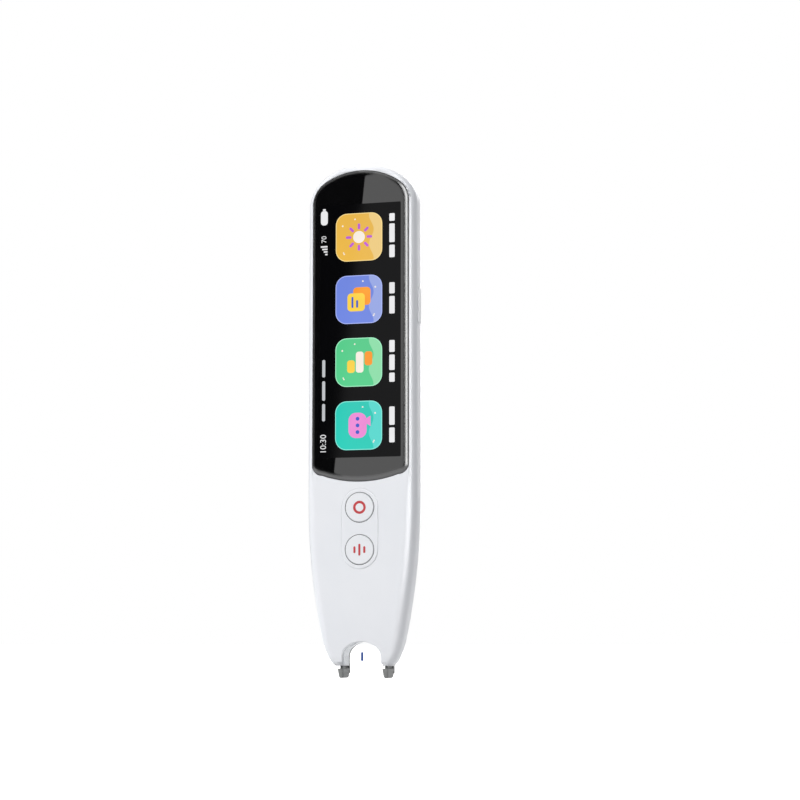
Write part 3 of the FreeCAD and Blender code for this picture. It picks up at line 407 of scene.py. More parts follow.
white_plastic = moulded_plastic("white_plastic", (0.83, 0.84, 0.865), (0.80, 0.815, 0.845), 0.34,
                                0.12 * MM, 0.28 * MM)
key_plastic = moulded_plastic("key_plastic", (0.84, 0.85, 0.87), (0.81, 0.825, 0.85), 0.28,
                              0.10 * MM, 0.2 * MM)
grey_plastic = moulded_plastic("grey_plastic", (0.235, 0.24, 0.235), (0.19, 0.195, 0.19), 0.48,
                               0.09 * MM, 0.15 * MM)
dark_plastic = moulded_plastic("dark_plastic", (0.03, 0.03, 0.032), (0.022, 0.022, 0.024), 0.5,
                               0.09 * MM, 0.1 * MM)
paint(("front_shell", "rear_shell", "key_surround"), white_plastic)
paint(("ring_key", "talk_key", "power_key"), key_plastic)
paint(("trigger_frame",), grey_plastic)
print("moulded pieces painted")

# %% [markdown]
# The black glass
#
# The cover glass is clear, but black ink is printed on its back, so from outside it reads as a deep
# black gloss. One opaque black shader with a strong, sharp reflection shows that without the cost of
# refraction. A trace of broad, soft waviness in the roughness stands for fingerprints that were wiped
# off.

# %% Black glass
def black_gloss(name, colour, specular, roughness, edge):
    """Deep black with a sharp reflection, over an edge rounded by the given radius."""
    material, tree, shader = new_material(name)
    wipe = spread(tree, noise(tree, 7 * MM, 3.0), roughness, roughness + 0.012)
    tree.links.new(wipe, shader.inputs["Roughness"])
    cloud = spread(tree, noise(tree, 25 * MM, 2.0), 0.0, 1.0)
    tree.links.new(between(tree, cloud, colour, tuple(c * 1.3 for c in colour)), shader.inputs["Base Color"])
    shader.inputs["IOR"].default_value = 1.56
    shader.inputs["Specular IOR Level"].default_value = specular
    if edge:
        soft = add(tree, "ShaderNodeBevel", {"samples": 16}, Radius=edge)
        tree.links.new(soft.outputs["Normal"], shader.inputs["Normal"])
    return material


glass_black = black_gloss("glass_black", (0.0022, 0.0022, 0.0025), 0.95, 0.004, 2.2 * MM)
screen_black = black_gloss("screen_black", (0.0018, 0.0018, 0.0022), 0.12, 0.05, None)
paint(("cover_glass",), glass_black)
paint(("display_panel",), screen_black)
print("glass and panel painted")

# %% [markdown]
# The clear window in the nose
#
# The reader aims through this plate, so it has to be truly clear. Transmission with a little
# roughness noise keeps it clean, but not perfect. The light caps and the camera's lens are moulded of
# the same clear plastic, so they share the finish.

# %% Clear window
def clear_plastic(name, tint, roughness):
    """Plastic to look through, with a trace of haze."""
    material, tree, shader = new_material(name)
    haze = spread(tree, noise(tree, 2 * MM, 3.0), roughness, roughness + 0.02)
    tree.links.new(haze, shader.inputs["Roughness"])
    veil = spread(tree, noise(tree, 5 * MM, 2.0), 0.0, 1.0)
    tree.links.new(between(tree, veil, tint, tuple(c * 0.985 for c in tint)), shader.inputs["Base Color"])
    shader.inputs["Transmission Weight"].default_value = 1.0
    shader.inputs["IOR"].default_value = 1.49
    return material


window_clear = clear_plastic("window_clear", (0.97, 0.98, 0.985), 0.01)
paint(("scan_window", "scan_lights", "camera_lens"), window_clear)
print("window, light caps and lens painted")

# %% [markdown]
# Metal, board and soft parts
#
# Most of these pieces are hidden inside, but the charging socket and the speaker's cloth can be seen
# through openings. Each family still gets a finish of its own, because the pen may be shown taken
# apart.

# %% Metal
def sheet_metal(name, colour, roughness, stretch):
    """Metal with fine rolling marks along the pen."""
    material, tree, shader = new_material(name)
    mapping = add(tree, "ShaderNodeMapping", None, Vector=place_of(tree), Scale=(1.0, 1.0, stretch))
    lines = noise(tree, 0.25 * MM, 4.0, 0.6, mapping.outputs["Vector"])
    tree.links.new(between(tree, spread(tree, lines, 0.0, 1.0), colour, tuple(c * 0.86 for c in colour)),
                   shader.inputs["Base Color"])
    tree.links.new(spread(tree, lines, roughness - 0.06, roughness + 0.08), shader.inputs["Roughness"])
    shader.inputs["Metallic"].default_value = 1.0
    bumped(tree, shader, lines, 0.002 * MM, 0.4)
    return material


def soft_finish(name, colour, grain, roughness, height):
    """Rubber, foam or cloth: rough, with a coarse open grain."""
    material, tree, shader = new_material(name)
    grains = add(tree, "ShaderNodeTexVoronoi", None, Vector=place_of(tree), Scale=1.0 / grain)
    cells = grains.outputs["Distance"]
    tree.links.new(between(tree, cells, tuple(c * 0.7 for c in colour), colour), shader.inputs["Base Color"])
    tree.links.new(spread(tree, noise(tree, grain * 3), roughness - 0.05, roughness + 0.05),
                   shader.inputs["Roughness"])
    bumped(tree, shader, cells, height, 0.6)
    return material


def circuit_finish(name):
    """Green lacquer over a copper pattern: square islands of a lighter green."""
    material, tree, shader = new_material(name)
    brick = add(tree, "ShaderNodeTexBrick", None, Vector=place_of(tree), Scale=1.0 / (2.2 * MM))
    brick.inputs["Color1"].default_value = (0.012, 0.12, 0.055, 1.0)
    brick.inputs["Color2"].default_value = (0.02, 0.16, 0.075, 1.0)
    brick.inputs["Mortar"].default_value = (0.03, 0.22, 0.10, 1.0)
    brick.inputs["Mortar Size"].default_value = 0.06
    tree.links.new(brick.outputs["Color"], shader.inputs["Base Color"])
    fine = noise(tree, 0.6 * MM, 3.0)
    tree.links.new(spread(tree, fine, 0.24, 0.38), shader.inputs["Roughness"])
    bumped(tree, shader, brick.outputs["Fac"], 0.01 * MM, 0.5)
    return material


socket_metal = sheet_metal("socket_metal", (0.62, 0.62, 0.61), 0.3, 0.2)
tray_metal = sheet_metal("tray_metal", (0.55, 0.56, 0.57), 0.38, 0.05)
pouch_foil = sheet_metal("pouch_foil", (0.50, 0.51, 0.53), 0.45, 0.6)
amber_film = moulded_plastic("amber_film", (0.50, 0.19, 0.03), (0.42, 0.15, 0.02), 0.3, 0.2 * MM, 0.05 * MM)
board_green = circuit_finish("board_green")
# The black rubber finish also serves as painted shade in the gaps round the keys.
black_rubber = soft_finish("black_rubber", (0.03, 0.03, 0.03), 0.3 * MM, 0.75, 0.02 * MM)
grey_foam = soft_finish("grey_foam", (0.13, 0.13, 0.135), 0.5 * MM, 0.85, 0.05 * MM)
mesh_cloth = soft_finish("mesh_cloth", (0.012, 0.012, 0.012), 0.16 * MM, 0.9, 0.03 * MM)
paint(("usb_c_socket", "shield_can", "microphone"), socket_metal)
paint(("display_tray", "board_screws", "trigger_springs"), tray_metal)
paint(("battery",), pouch_foil)
paint(("display_flex", "antenna_strip"), amber_film)
paint(("main_board", "battery_guard_board", "scan_light_board"), board_green)
paint(("microphone_boot",), black_rubber)
paint(("battery_pad",), grey_foam)
paint(("speaker_mesh",), mesh_cloth)
paint(("processor", "speaker", "ring_key_switch", "talk_key_switch", "power_switch", "trigger_switch",
       "camera_holder", "camera_module"), dark_plastic)
print("inner pieces painted")

# %% [markdown]
# Light that a display gives off
#
# A pixel is seen by its own light, so each graphic's colour goes to the shader's emission. A tile on
# a display is never one flat colour here: a painted sheen darkens it along a diagonal, and a lighter
# wave lies over one side, a band of its own whose paleness is partly painted reflection. The wave is a
# sine of the height, compared with the distance across the tile.

# %% Lit materials
UNLIT = (0.01, 0.01, 0.01, 1.0)
UNDER_GLASS_SPECULAR = 0.3
WAVE_RATE = 5.2
WAVE_DEPTH = 0.10
WAVE_PLACE = 0.52
WAVE_CRISPNESS = 40.0


def lit(name, colour, second=None):
    """Light of one colour that drifts towards a second one across a few millimetres."""
    material, tree, shader = new_material(name)
    drift = spread(tree, noise(tree, 6 * MM, 1.0), 0.0, 1.0)
    result = between(tree, drift, colour, second or tuple(c * 0.93 for c in colour))
    tree.links.new(result, shader.inputs["Emission Color"])
    shader.inputs["Emission Strength"].default_value = 1.0
    shader.inputs["Base Color"].default_value = UNLIT
    tree.links.new(spread(tree, noise(tree, 3 * MM), 0.05, 0.09), shader.inputs["Roughness"])
    shader.inputs["Specular IOR Level"].default_value = UNDER_GLASS_SPECULAR
    return material


def lit_tile(name, main, pale, centre_x, centre_z, half):
    """A tile's light: main colour, a paler side past a wavy line, partly painted reflection, and a diagonal
    painted sheen.
    """
    material, tree, shader = new_material(name)
    place = add(tree, "ShaderNodeMapping", None, Vector=place_of(tree), Location=(-centre_x, 0.0, -centre_z))
    parts = add(tree, "ShaderNodeSeparateXYZ", None, Vector=place.outputs["Vector"])
    across = maths(tree, "DIVIDE", parts.outputs["X"], half)
    up = maths(tree, "DIVIDE", parts.outputs["Z"], half)
    # Past the wavy line the tile turns pale: a band of the tile's own, whose paleness is partly painted
    # reflection.
    swing = maths(tree, "SINE", maths(tree, "MULTIPLY", up, WAVE_RATE))
    edge = maths(tree, "ADD", maths(tree, "MULTIPLY", swing, WAVE_DEPTH), WAVE_PLACE)
    past = maths(tree, "MULTIPLY", maths(tree, "SUBTRACT", across, edge), WAVE_CRISPNESS)
    mask = add(tree, "ShaderNodeClamp", None, Value=past).outputs["Result"]
    # Painted sheen: the colour darkens by about an eighth along a diagonal across the tile.
    painted_sheen = maths(tree, "MULTIPLY", maths(tree, "ADD", maths(tree, "ADD", across, up), 2.0), 0.25)
    body = between(tree, painted_sheen, main, tuple(min(c * 0.88 + 0.01, 1.0) for c in main))
    result = between(tree, mask, body, pale)
    tree.links.new(result, shader.inputs["Emission Color"])
    shader.inputs["Emission Strength"].default_value = 1.0
    shader.inputs["Base Color"].default_value = UNLIT
    tree.links.new(spread(tree, noise(tree, 3 * MM), 0.05, 0.09), shader.inputs["Roughness"])
    shader.inputs["Specular IOR Level"].default_value = UNDER_GLASS_SPECULAR
    return material


white_light = lit("white_light", linear(236, 236, 238))
grey_light = lit("grey_light", linear(196, 198, 202))
print("lit materials ready")

# %% [markdown]
# The lit area
#
# Under the glass the display's own area is a touch less mirror-like than the printed border. A thin
# plate as large as that area, a hundredth of a millimetre proud, gives the glass that difference.

# %% Lit area
FILM = 0.008 * MM
LIT_AREA_CORNER = 0.3 * MM
middle = (screen_low + screen_high) / 2
screen = rounded_plate(middle.x, middle.z, screen_width, screen_length, LIT_AREA_CORNER,
                       GLASS_FACE, FILM)
finish_piece(screen, "lit_area", screen_black)
SHAPE_Y = GLASS_FACE - FILM
print("lit area on the glass at y =", round(GLASS_FACE / MM, 3), "mm")

# %% [markdown]
# Four tiles
#
# The menu is read with the pen lying on its side, so its row of tiles runs up the pen. Each tile is a
# rounded square with a thin light rim: a slightly larger plate behind a smaller one. The tiles
# repeat, so one loop builds them from their colours.

# %% Tiles
TILE_SIDE = 13.9 * MM
TILE_PITCH = 18.03 * MM
TILE_RADIUS = 3.3 * MM
TILE_RIM = 0.22 * MM
TILE_X = -0.4 * MM
FIRST_TILE_GAP = 2.7 * MM
first_tile_z = screen_high.z - FIRST_TILE_GAP - TILE_SIDE / 2
# A tile's name, main colour, the colour past the wave (partly painted reflection) and its rim's colour.
tile_colours = [
    ("amber", linear(238, 186, 72), linear(236, 202, 128), linear(255, 226, 150)),
    ("violet", linear(112, 136, 228), linear(150, 166, 226), linear(176, 190, 255)),
    ("green", linear(84, 208, 140), linear(140, 220, 168), linear(170, 250, 205)),
    ("teal", linear(24, 206, 186), linear(84, 214, 204), linear(140, 245, 228)),
]
tile_places = []
for index, (colour_name, main, pale, rim) in enumerate(tile_colours):
    z = first_tile_z - index * TILE_PITCH
    tile_places.append((TILE_X, z))
    rim_plate = rounded_plate(TILE_X, z, TILE_SIDE, TILE_SIDE, TILE_RADIUS, SHAPE_Y, FILM)
    rim_light = lit("rim_" + colour_name, rim)
    finish_piece(rim_plate, "tile_rim_" + colour_name, rim_light)
    inner = TILE_SIDE - 2 * TILE_RIM
    face = rounded_plate(TILE_X, z, inner, inner, TILE_RADIUS - TILE_RIM, SHAPE_Y - FILM, FILM)
    material = lit_tile("tile_" + colour_name, main, pale, TILE_X, z, TILE_SIDE / 2)
    finish_piece(face, "tile_" + colour_name, material)
MOTIF_Y = SHAPE_Y - 2 * FILM
print("tiles at", [round(p[1] / MM, 1) for p in tile_places])

# %% [markdown]
# Plain motifs on the tiles
#
# Each tile carries a simple sign made of a few rounded shapes: a sun, a stack of cards, three steps
# and a bubble. Each shape is given by its kind, its distances across and up the pen from the tile's
# centre, and its size. One function reads such a list, so a sign stays a few short lines, and
# changing it needs no new code.

# %% Motif helper
def motif(tile, name, colour, layer, shapes):
    """Joins flat shapes, given about the tile's centre, into one lit sign."""
    x0, z0 = tile
    y = MOTIF_Y - layer * FILM
    made = []
    for shape in shapes:
        kind, x, z = shape[0], x0 + shape[1] * MM, z0 + shape[2] * MM
        size = [value * MM for value in shape[3]]
        turn = math.radians(shape[4]) if len(shape) > 4 else 0.0
        if kind == "bar":
            made.append(rounded_plate(x, z, size[0], size[1], size[2], y, FILM, turn))
        elif kind == "disc":
            made.append(flat_disc(x, z, size[0], y, FILM))
        else:
            made.append(flat_disc(x, z, size[0], y, FILM, 3, turn))
    finish_piece(joined(made), name, colour)


# %% [markdown]
# The four signs
#
# On the display a sign is drawn in a few flat colours. A sign can have up to three layers. Each
# layer's shapes lie a film's thickness further out than the last, so two colours never fight for the
# same place.

# %% Motifs
plum = lit("plum", linear(196, 96, 214), linear(178, 90, 205))
cream = lit("cream", linear(250, 240, 228))
orange = lit("orange", linear(255, 160, 40), linear(245, 140, 30))
blue_deep = lit("blue_deep", linear(60, 92, 200))
yellow = lit("yellow", linear(255, 214, 70))
rose = lit("rose", linear(240, 140, 215))

motif(tile_places[0], "sun_rays", plum, 0, [
    ("bar", 3.1 * math.cos(math.radians(a)), 3.1 * math.sin(math.radians(a)), (1.7, 0.75, 0.36), -a)
    for a in range(0, 360, 45)
])
motif(tile_places[0], "sun_disc", cream, 0, [("disc", 0, 0, (1.75,))])
motif(tile_places[1], "card_back", orange, 0, [("bar", 0.9, 0.9, (5.2, 5.2, 1.1))])
motif(tile_places[1], "card_front", yellow, 1, [("bar", -0.8, -0.8, (5.2, 5.2, 1.1))])
motif(tile_places[1], "card_lines", blue_deep, 2, [
    ("bar", -1.9, -0.8, (0.6, 3.2, 0.28)), ("bar", -0.5, -1.3, (0.6, 2.2, 0.28)),
])
motif(tile_places[2], "steps_left", yellow, 0, [("bar", -2.3, -1.2, (2.3, 3.6, 0.8))])
motif(tile_places[2], "steps_middle", cream, 0, [("bar", 0.3, 0.0, (2.3, 6.0, 0.8))])
motif(tile_places[2], "steps_right", orange, 0, [("bar", 2.9, 1.0, (2.3, 4.0, 0.8))])
motif(tile_places[3], "bubble_tail", rose, 0, [("corner", 2.7, 1.2, (1.7,), 30.0)])
motif(tile_places[3], "bubble", rose, 1, [("bar", -0.3, 0.0, (5.4, 7.2, 2.2))])
motif(tile_places[3], "bubble_dots", blue_deep, 2, [("disc", -0.3, z, (0.55,)) for z in (-1.9, 0.0, 1.9)])
print("motifs done")

# %% [markdown]
# Small bright dots
#
# Each tile has a few tiny specks of light near its corners. They are twelve-sided discs, which is
# plenty at this size. A texture could make them too, but as shapes they stay sharp from any distance.

# %% Specks
SPECK_SIDES = 12
speck_places = ((-4.9, 3.4, 0.26), (4.6, -4.4, 0.2), (-4.4, -4.8, 0.22), (1.2, 5.2, 0.24))
for index, (x0, z0) in enumerate(tile_places):
    specks = []
    for number, (dx, dz, radius) in enumerate(speck_places):
        swap = -1 if (index + number) % 2 else 1
        specks.append(flat_disc(x0 + dx * swap * MM, z0 + dz * MM, radius * MM, MOTIF_Y, FILM,
                                SPECK_SIDES))
    finish_piece(joined(specks), "specks_" + tile_colours[index][0], cream)
print("specks on", len(tile_places), "tiles")

# %% [markdown]
# Captions
#
# Beside each tile runs a caption, drawn as a row of plain bars, as in a layout sketch. A bar stands
# for a word, and the gap between two bars for a space. Bars are centred on their tile, so their
# lengths are added up before the first one is placed.

# %% Captions
CAPTION_X = 9.45 * MM
CAPTION_HEIGHT = 1.6 * MM
CAPTION_CORNER = 0.3 * MM
WORD_GAP = 0.75 * MM
caption_words = ((3.6, 5.4, 2.2), (5.0, 3.2), (2.6, 4.4, 3.4), (4.2, 5.2))
for (x0, z0), words, (colour_name, *_) in zip(tile_places, caption_words, tile_colours):
    lengths = [word * MM for word in words]
    start = z0 - (sum(lengths) + WORD_GAP * (len(words) - 1)) / 2
    bars = []
    for length in lengths:
        bars.append(rounded_plate(CAPTION_X, start + length / 2, CAPTION_HEIGHT, length, CAPTION_CORNER,
                                  SHAPE_Y, FILM))
        start += length + WORD_GAP
    finish_piece(joined(bars), "caption_" + colour_name, white_light)
print("captions done")

# %% [markdown]
# The status line
#
# Along the left edge run a battery sign, signal bars, a charge in percent, the time and a row of
# plain bars. Digits are generic, so they may be real text. Text starts as a curve, and converting it
# to a mesh comes before its place is applied, because a curve can't hold its place in its points in
# the same way.

# %% Status line
STATUS_X = -10.85 * MM
BATTERY_DROP = 3.6 * MM
SIGNAL_DROP = 10.6 * MM
CHARGE_DROP = 7.3 * MM
CLOCK_RISE = 1.2 * MM
battery_z = screen_high.z - BATTERY_DROP
battery_sign = joined([
    rounded_plate(STATUS_X, battery_z, 2.1 * MM, 4.2 * MM, 0.9 * MM, SHAPE_Y, FILM),
    rounded_plate(STATUS_X, battery_z + 2.4 * MM, 0.9 * MM, 0.5 * MM, 0.2 * MM, SHAPE_Y, FILM),
])
finish_piece(battery_sign, "battery_sign", white_light)
signal = []
for step in range(4):
    height = (0.7 + 0.45 * step) * MM
    x = STATUS_X + 1.0 * MM - height / 2
    z = battery_z - SIGNAL_DROP + 0.75 * step * MM
    signal.append(rounded_plate(x, z, height, 0.45 * MM, 0.12 * MM, SHAPE_Y, FILM))
finish_piece(joined(signal), "signal_bars", white_light)
READING = Matrix(((0, -1, 0), (0, 0, -1), (1, 0, 0)))


def number_text(text, x, z, size, name, material):
    """Plain digits that read up the pen, as a mesh with a film's thickness."""
    nothing_selected()
    bpy.ops.object.text_add(location=(x, SHAPE_Y, z), rotation=READING.to_euler())
    letters = bpy.context.active_object
    letters.data.body = text
    letters.data.size = size
    letters.data.align_x = "LEFT"
    letters.data.align_y = "CENTER"
    letters.data.extrude = FILM
    pick(letters)
    bpy.ops.object.convert(target="MESH")
    finish_piece(bpy.context.active_object, name, material)


number_text("70", STATUS_X, battery_z - CHARGE_DROP, 2.1 * MM, "charge_number", white_light)
number_text("10:30", STATUS_X, screen_low.z + CLOCK_RISE, 2.5 * MM, "clock_number", white_light)
date_bars = [
    rounded_plate(STATUS_X, screen_low.z + z * MM, 0.9 * MM, length * MM, 0.4 * MM, SHAPE_Y, FILM)
    for z, length in ((13.0, 5.0), (19.2, 5.6), (25.6, 5.0))
]
finish_piece(joined(date_bars), "date_bars", grey_light)
print("status line done")

# %% [markdown]
# Marks on the keys
#
# The upper key has a red ring pad-printed on it and the lower one a plain sign of three bars. Ink has
# a thickness of its own, so a mark is a flat shape that stands some thousandths of a millimetre
# proud. Each mark rides on its own key's body, so it goes in when the key is pressed.

# %% Key marks
red_ink, tree, shader = new_material("red_ink")
patch = spread(tree, noise(tree, 0.5 * MM, 3.0), 0.0, 1.0)
tree.links.new(between(tree, patch, linear(196, 58, 62), linear(182, 50, 56)), shader.inputs["Base Color"])
tree.links.new(spread(tree, noise(tree, 0.15 * MM), 0.35, 0.5), shader.inputs["Roughness"])
INK = 0.006 * MM
RING_OUTER = 1.85 * MM
RING_INNER = 1.15 * MM
BAR_WIDTH = 0.62 * MM
BAR_CORNER = 0.28 * MM
ring_low, ring_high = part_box("ring_key")
talk_low, talk_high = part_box("talk_key")
ring_centre = (ring_low + ring_high) / 2
talk_centre = (talk_low + talk_high) / 2
ring_mark = flat_ring(ring_centre.x, ring_centre.z, RING_OUTER, RING_INNER, ring_low.y, INK)
finish_piece(ring_mark, "ring_mark", red_ink, "ring_button")
bars = [
    rounded_plate(talk_centre.x + x * MM, talk_centre.z, BAR_WIDTH, height * MM, BAR_CORNER, talk_low.y, INK)
    for x, height in ((-1.45, 1.9), (0.0, 3.3), (1.45, 1.9))
]
finish_piece(joined(bars), "talk_mark", red_ink, "talk_button")
print("key marks at", round(ring_centre.z / MM, 1), "and", round(talk_centre.z / MM, 1), "mm")

# %% [markdown]
# Painted shade in the gaps round the keys
#
# The gap round a key is only an eighth of a millimetre wide, and next to no light comes out of it. A
# thin black ring at its mouth is painted shade that shows that, because a shadow so narrow gets lost
# in the picture. The ring is on the surround, so it stays when a key goes in.

# %% Painted shade in the key gaps
CAP_RADIUS = 4.2 * MM
GAP_INSIDE = 0.01 * MM
GAP_OUTSIDE = 0.14 * MM
GAP_SHADE_DEPTH = 0.06 * MM
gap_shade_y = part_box("key_surround")[0].y + GAP_SHADE_DEPTH
for name, centre in (("ring", ring_centre), ("talk", talk_centre)):
    # Each ring is painted shade: a black ring standing where the gap is dark.
    gap_shade = flat_ring(centre.x, centre.z, CAP_RADIUS + GAP_OUTSIDE, CAP_RADIUS + GAP_INSIDE, gap_shade_y, INK)
    finish_piece(gap_shade, name + "_key_gap_shade", black_rubber)
print("gap_shade_rings at y =", round(gap_shade_y / MM, 2), "mm")

# %% [markdown]
# The aiming line in the window
#
# A blue line printed on the clear plate shows where the pen reads. It lies on the plate's front face.
# It is a plate of its own and not a texture, so its ends can be round and its place is read from the
# window.

# %% Aiming line
blue_ink, tree, shader = new_material("blue_ink")
patch = spread(tree, noise(tree, 0.4 * MM, 3.0), 0.0, 1.0)
tree.links.new(between(tree, patch, linear(28, 72, 146), linear(24, 62, 132)), shader.inputs["Base Color"])
tree.links.new(spread(tree, noise(tree, 0.2 * MM), 0.3, 0.45), shader.inputs["Roughness"])
window_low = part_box("scan_window")[0]
LINE_HEIGHT = 2.5 * MM
LINE_WIDTH = 0.7 * MM
LINE_CORNER = 0.2 * MM
LINE_RISE = 0.9 * MM
line_middle = window_low.z + LINE_RISE + LINE_HEIGHT / 2
aim_line = rounded_plate(0.0, line_middle, LINE_WIDTH, LINE_HEIGHT, LINE_CORNER, window_low.y, INK)
finish_piece(aim_line, "aim_line", blue_ink)
print("aiming line", round(LINE_HEIGHT / MM, 1), "mm high")

# %% [markdown]
# Floor and studio light
#
# The background is white only because camera, glossy and transmission rays are told so with Light
# Path. The light that falls on the pen stays at a plain level, so its white plastic keeps its
# shading.

# %% World and floor
def background_ray(tree):
    """1 where a ray shows the background to the camera, directly, in gloss or through glass."""
    path = add(tree, "ShaderNodeLightPath")
    first = maths(tree, "MAXIMUM", path.outputs["Is Camera Ray"], path.outputs["Is Glossy Ray"])
    return maths(tree, "MAXIMUM", first, path.outputs["Is Transmission Ray"])


scene = bpy.context.scene
world = bpy.data.worlds.new("studio")
scene.world = world
world.use_nodes = True
AMBIENT = (0.47, 0.475, 0.485)
sky = world.node_tree.nodes["Background"]
seen = background_ray(world.node_tree)
world.node_tree.links.new(between(world.node_tree, seen, AMBIENT, (1.0, 1.0, 1.0)), sky.inputs["Color"])

nothing_selected()
bpy.ops.mesh.primitive_grid_add(x_subdivisions=8, y_subdivisions=8, size=6.0, location=(0, 0, tips_z))
floor = bpy.context.active_object
floor.name = "floor"
apply_place(floor)
floor_paint, tree, shader = new_material("floor_paint")
patch = spread(tree, noise(tree, 0.4), 0.0, 1.0)
tree.links.new(between(tree, patch, (0.56, 0.56, 0.56), (0.54, 0.54, 0.545)), shader.inputs["Base Color"])
shader.inputs["Roughness"].default_value = 0.9
shader.inputs["Specular IOR Level"].default_value = 0.0
tree.links.new(between(tree, background_ray(tree), (0, 0, 0), (1, 1, 1)), shader.inputs["Emission Color"])
shader.inputs["Emission Strength"].default_value = 1.0
floor.data.materials.append(floor_paint)
print("floor at z =", round(tips_z / MM, 1), "mm")

# %% [markdown]
# Three soft lamps
#
# A large lamp a good metre away gives soft shadows. The main one stands in front, high and to the
# left, so the right flank falls into shade and the raised key surround throws a small shadow
# downwards. It is hidden from gloss, because a bright rectangle in the black glass would hide the
# display.

# %% Lamps
def soft_lamp(name, place, side, power):
    """A square lamp that faces the pen's middle: place and side in metres, power in watts."""
    nothing_selected()
    bpy.ops.object.light_add(type="AREA", location=place)
    lamp = bpy.context.active_object
    lamp.name = name
    lamp.data.shape = "RECTANGLE"
    lamp.data.size = side
    lamp.data.size_y = side
    lamp.data.energy = power
    lamp.rotation_euler = (Vector(place) - pen_middle).to_track_quat("Z", "Y").to_euler()
    return lamp


pen_middle = (cad_low + cad_high) / 2
front_lamp = soft_lamp("front_lamp", (-0.75, -0.95, 0.75), 0.7, 13.8)
front_lamp.visible_glossy = False
soft_lamp("back_lamp", (-0.2, 1.2, 0.45), 0.9, 8.0)
soft_lamp("top_lamp", (0.0, 0.0, 1.3), 0.8, 3.0)
print("three lamps")

# %% [markdown]
# What the gloss reflects
#
# Black glass shows what stands in front of it, and white plastic shows its edges by what they
# reflect. So a studio sets cards round a glossy thing: dark ones for edges and one bright strip for a
# fine line. Only reflections see them: they are hidden from the camera and throw no shadow.

# %% Cards
CARD_REACH = 0.6
STRIP_REACH = 0.5
CARD_HEIGHT = 1.4


def card_finish(name, colour, glow):
    """Matt card, black or giving off its own even light."""
    material, tree, shader = new_material(name)
    cloud = noise(tree, 0.05)
    tone = between(tree, cloud, colour, tuple(c * 0.9 for c in colour))
    tree.links.new(tone, shader.inputs["Base Color"])
    tree.links.new(tone, shader.inputs["Emission Color"])
    shader.inputs["Emission Strength"].default_value = glow
    tree.links.new(spread(tree, cloud, 0.9, 1.0), shader.inputs["Roughness"])
    shader.inputs["Specular IOR Level"].default_value = 0.0
    return material


def card_plane(name, material, width, height, matrix, location):
    """A flat card that only reflections see."""
    nothing_selected()
    bpy.ops.mesh.primitive_plane_add(size=1.0)
    card = bpy.context.active_object
    card.name = name
    card.scale = (width, height, 1.0)
    card.rotation_euler = matrix.to_euler()
    card.location = location
    apply_place(card)
    card.data.materials.append(material)
    card.visible_camera = False
    card.visible_diffuse = False
    card.visible_shadow = False
    card.visible_transmission = False


def card_round_pen(name, material, turn_from, turn_to, distance):
    """An upright card that spans two compass turns about the pen, seen from the pen's middle."""
    turn = math.radians(turn_from + turn_to) / 2
    width = 2 * distance * math.tan(math.radians(turn_to - turn_from) / 2)
    way = Vector((math.sin(turn), -math.cos(turn), 0))
    matrix = way.to_track_quat("Z", "Y").to_matrix()
    card_plane(name, material, width, CARD_HEIGHT, matrix, pen_middle + way * distance)


card_black = card_finish("card_black", (0.004, 0.004, 0.004), 0.0)
card_grey = card_finish("card_grey", (0.38, 0.38, 0.38), 1.0)
card_white = card_finish("card_white", (1.0, 1.0, 1.0), 9.0)
card_round_pen("right_card", card_black, -9.0, 78.0, CARD_REACH)
card_round_pen("right_strip", card_white, 14.0, 60.0, STRIP_REACH)
card_round_pen("right_rear_card", card_grey, 95.0, 165.0, CARD_REACH)
card_round_pen("left_rear_card", card_black, 200.0, 262.0, CARD_REACH)
print("cards set round the pen")

# %% [markdown]
# The camera
#
# The picture was taken with a long lens from a little to the right and a little below the middle of
# the pen. A long lens keeps the pen's sides nearly parallel. The aim point lies beside the pen, which
# puts the pen left of centre.

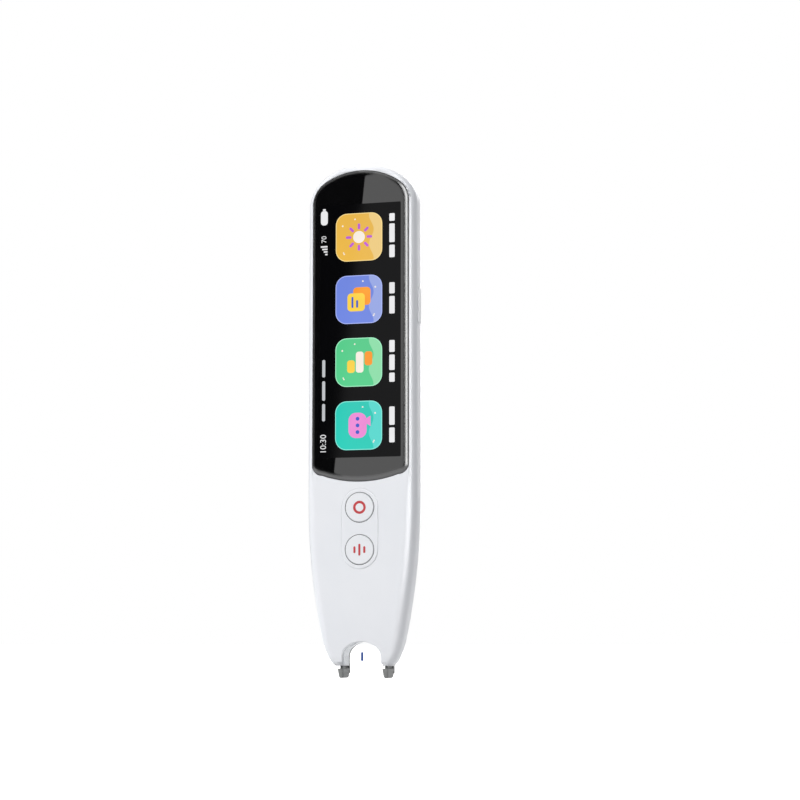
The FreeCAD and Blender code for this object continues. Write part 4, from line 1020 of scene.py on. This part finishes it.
# %% Camera
AZIMUTH = math.radians(16.5)
ELEVATION = math.radians(-6.5)
DISTANCE = 0.60
IMAGE = 800
PIXELS_PER_MM = 3.50
PEN_PIXEL = Vector((366.6, 420.2))
away = Vector((math.sin(AZIMUTH) * math.cos(ELEVATION), -math.cos(AZIMUTH) * math.cos(ELEVATION),
               math.sin(ELEVATION)))
right = Vector((math.cos(AZIMUTH), math.sin(AZIMUTH), 0.0))
up = right.cross(-away)
aim = Vector((0, 0, pen_middle.z))
aim += right * (IMAGE / 2 - PEN_PIXEL.x) / PIXELS_PER_MM * MM
aim += up * (PEN_PIXEL.y - IMAGE / 2) / PIXELS_PER_MM * MM
nothing_selected()
bpy.ops.object.camera_add(location=aim + away * DISTANCE)
camera = bpy.context.active_object
camera.name = "camera"
camera.rotation_euler = Matrix((right, up, away)).transposed().to_euler()
camera.data.sensor_width = 36.0
camera.data.lens = PIXELS_PER_MM / MM * DISTANCE * camera.data.sensor_width / IMAGE
camera.data.clip_start = 0.01
scene.camera = camera
scene.view_settings.view_transform = "Standard"
print("lens", round(camera.data.lens, 1), "mm; camera height over the floor",
      round((camera.location.z - tips_z) / MM, 1), "mm")

# %% [markdown]
# The slanted line in the glass
#
# The picture shows a slanted edge in the glass, between a deep black half and a paler half. It is the
# edge of a dark card, so the card goes where the camera's view of the glass is mirrored to. The card
# is turned a little about the mirrored view, which slants the edge.

# %% Slanted line
CARD_DISTANCE = 0.5
CARD_SIZE = 0.9
CARD_TURN = math.radians(6.0)
LINE_X = -18.0 * MM
mirror = Vector((-away.x, away.y, -away.z))
card_side = Vector((0, 0, 1)).cross(-mirror).normalized()
card_up = (-mirror).cross(card_side)
card_matrix = Matrix.Rotation(CARD_TURN, 3, -mirror) @ Matrix((card_side, card_up, -mirror)).transposed()
edge_point = Vector((LINE_X, GLASS_FACE, middle.z)) + mirror * CARD_DISTANCE
card_plane("slanted_card", card_black, CARD_SIZE, CARD_SIZE, card_matrix,
           edge_point + card_matrix @ Vector((CARD_SIZE / 2, 0, 0)))
print("slanted card placed")

# %% [markdown]
# The last line
#
# The scene is brought up to date once more, with every piece in its place.

# %% Last update
bpy.context.view_layer.update()
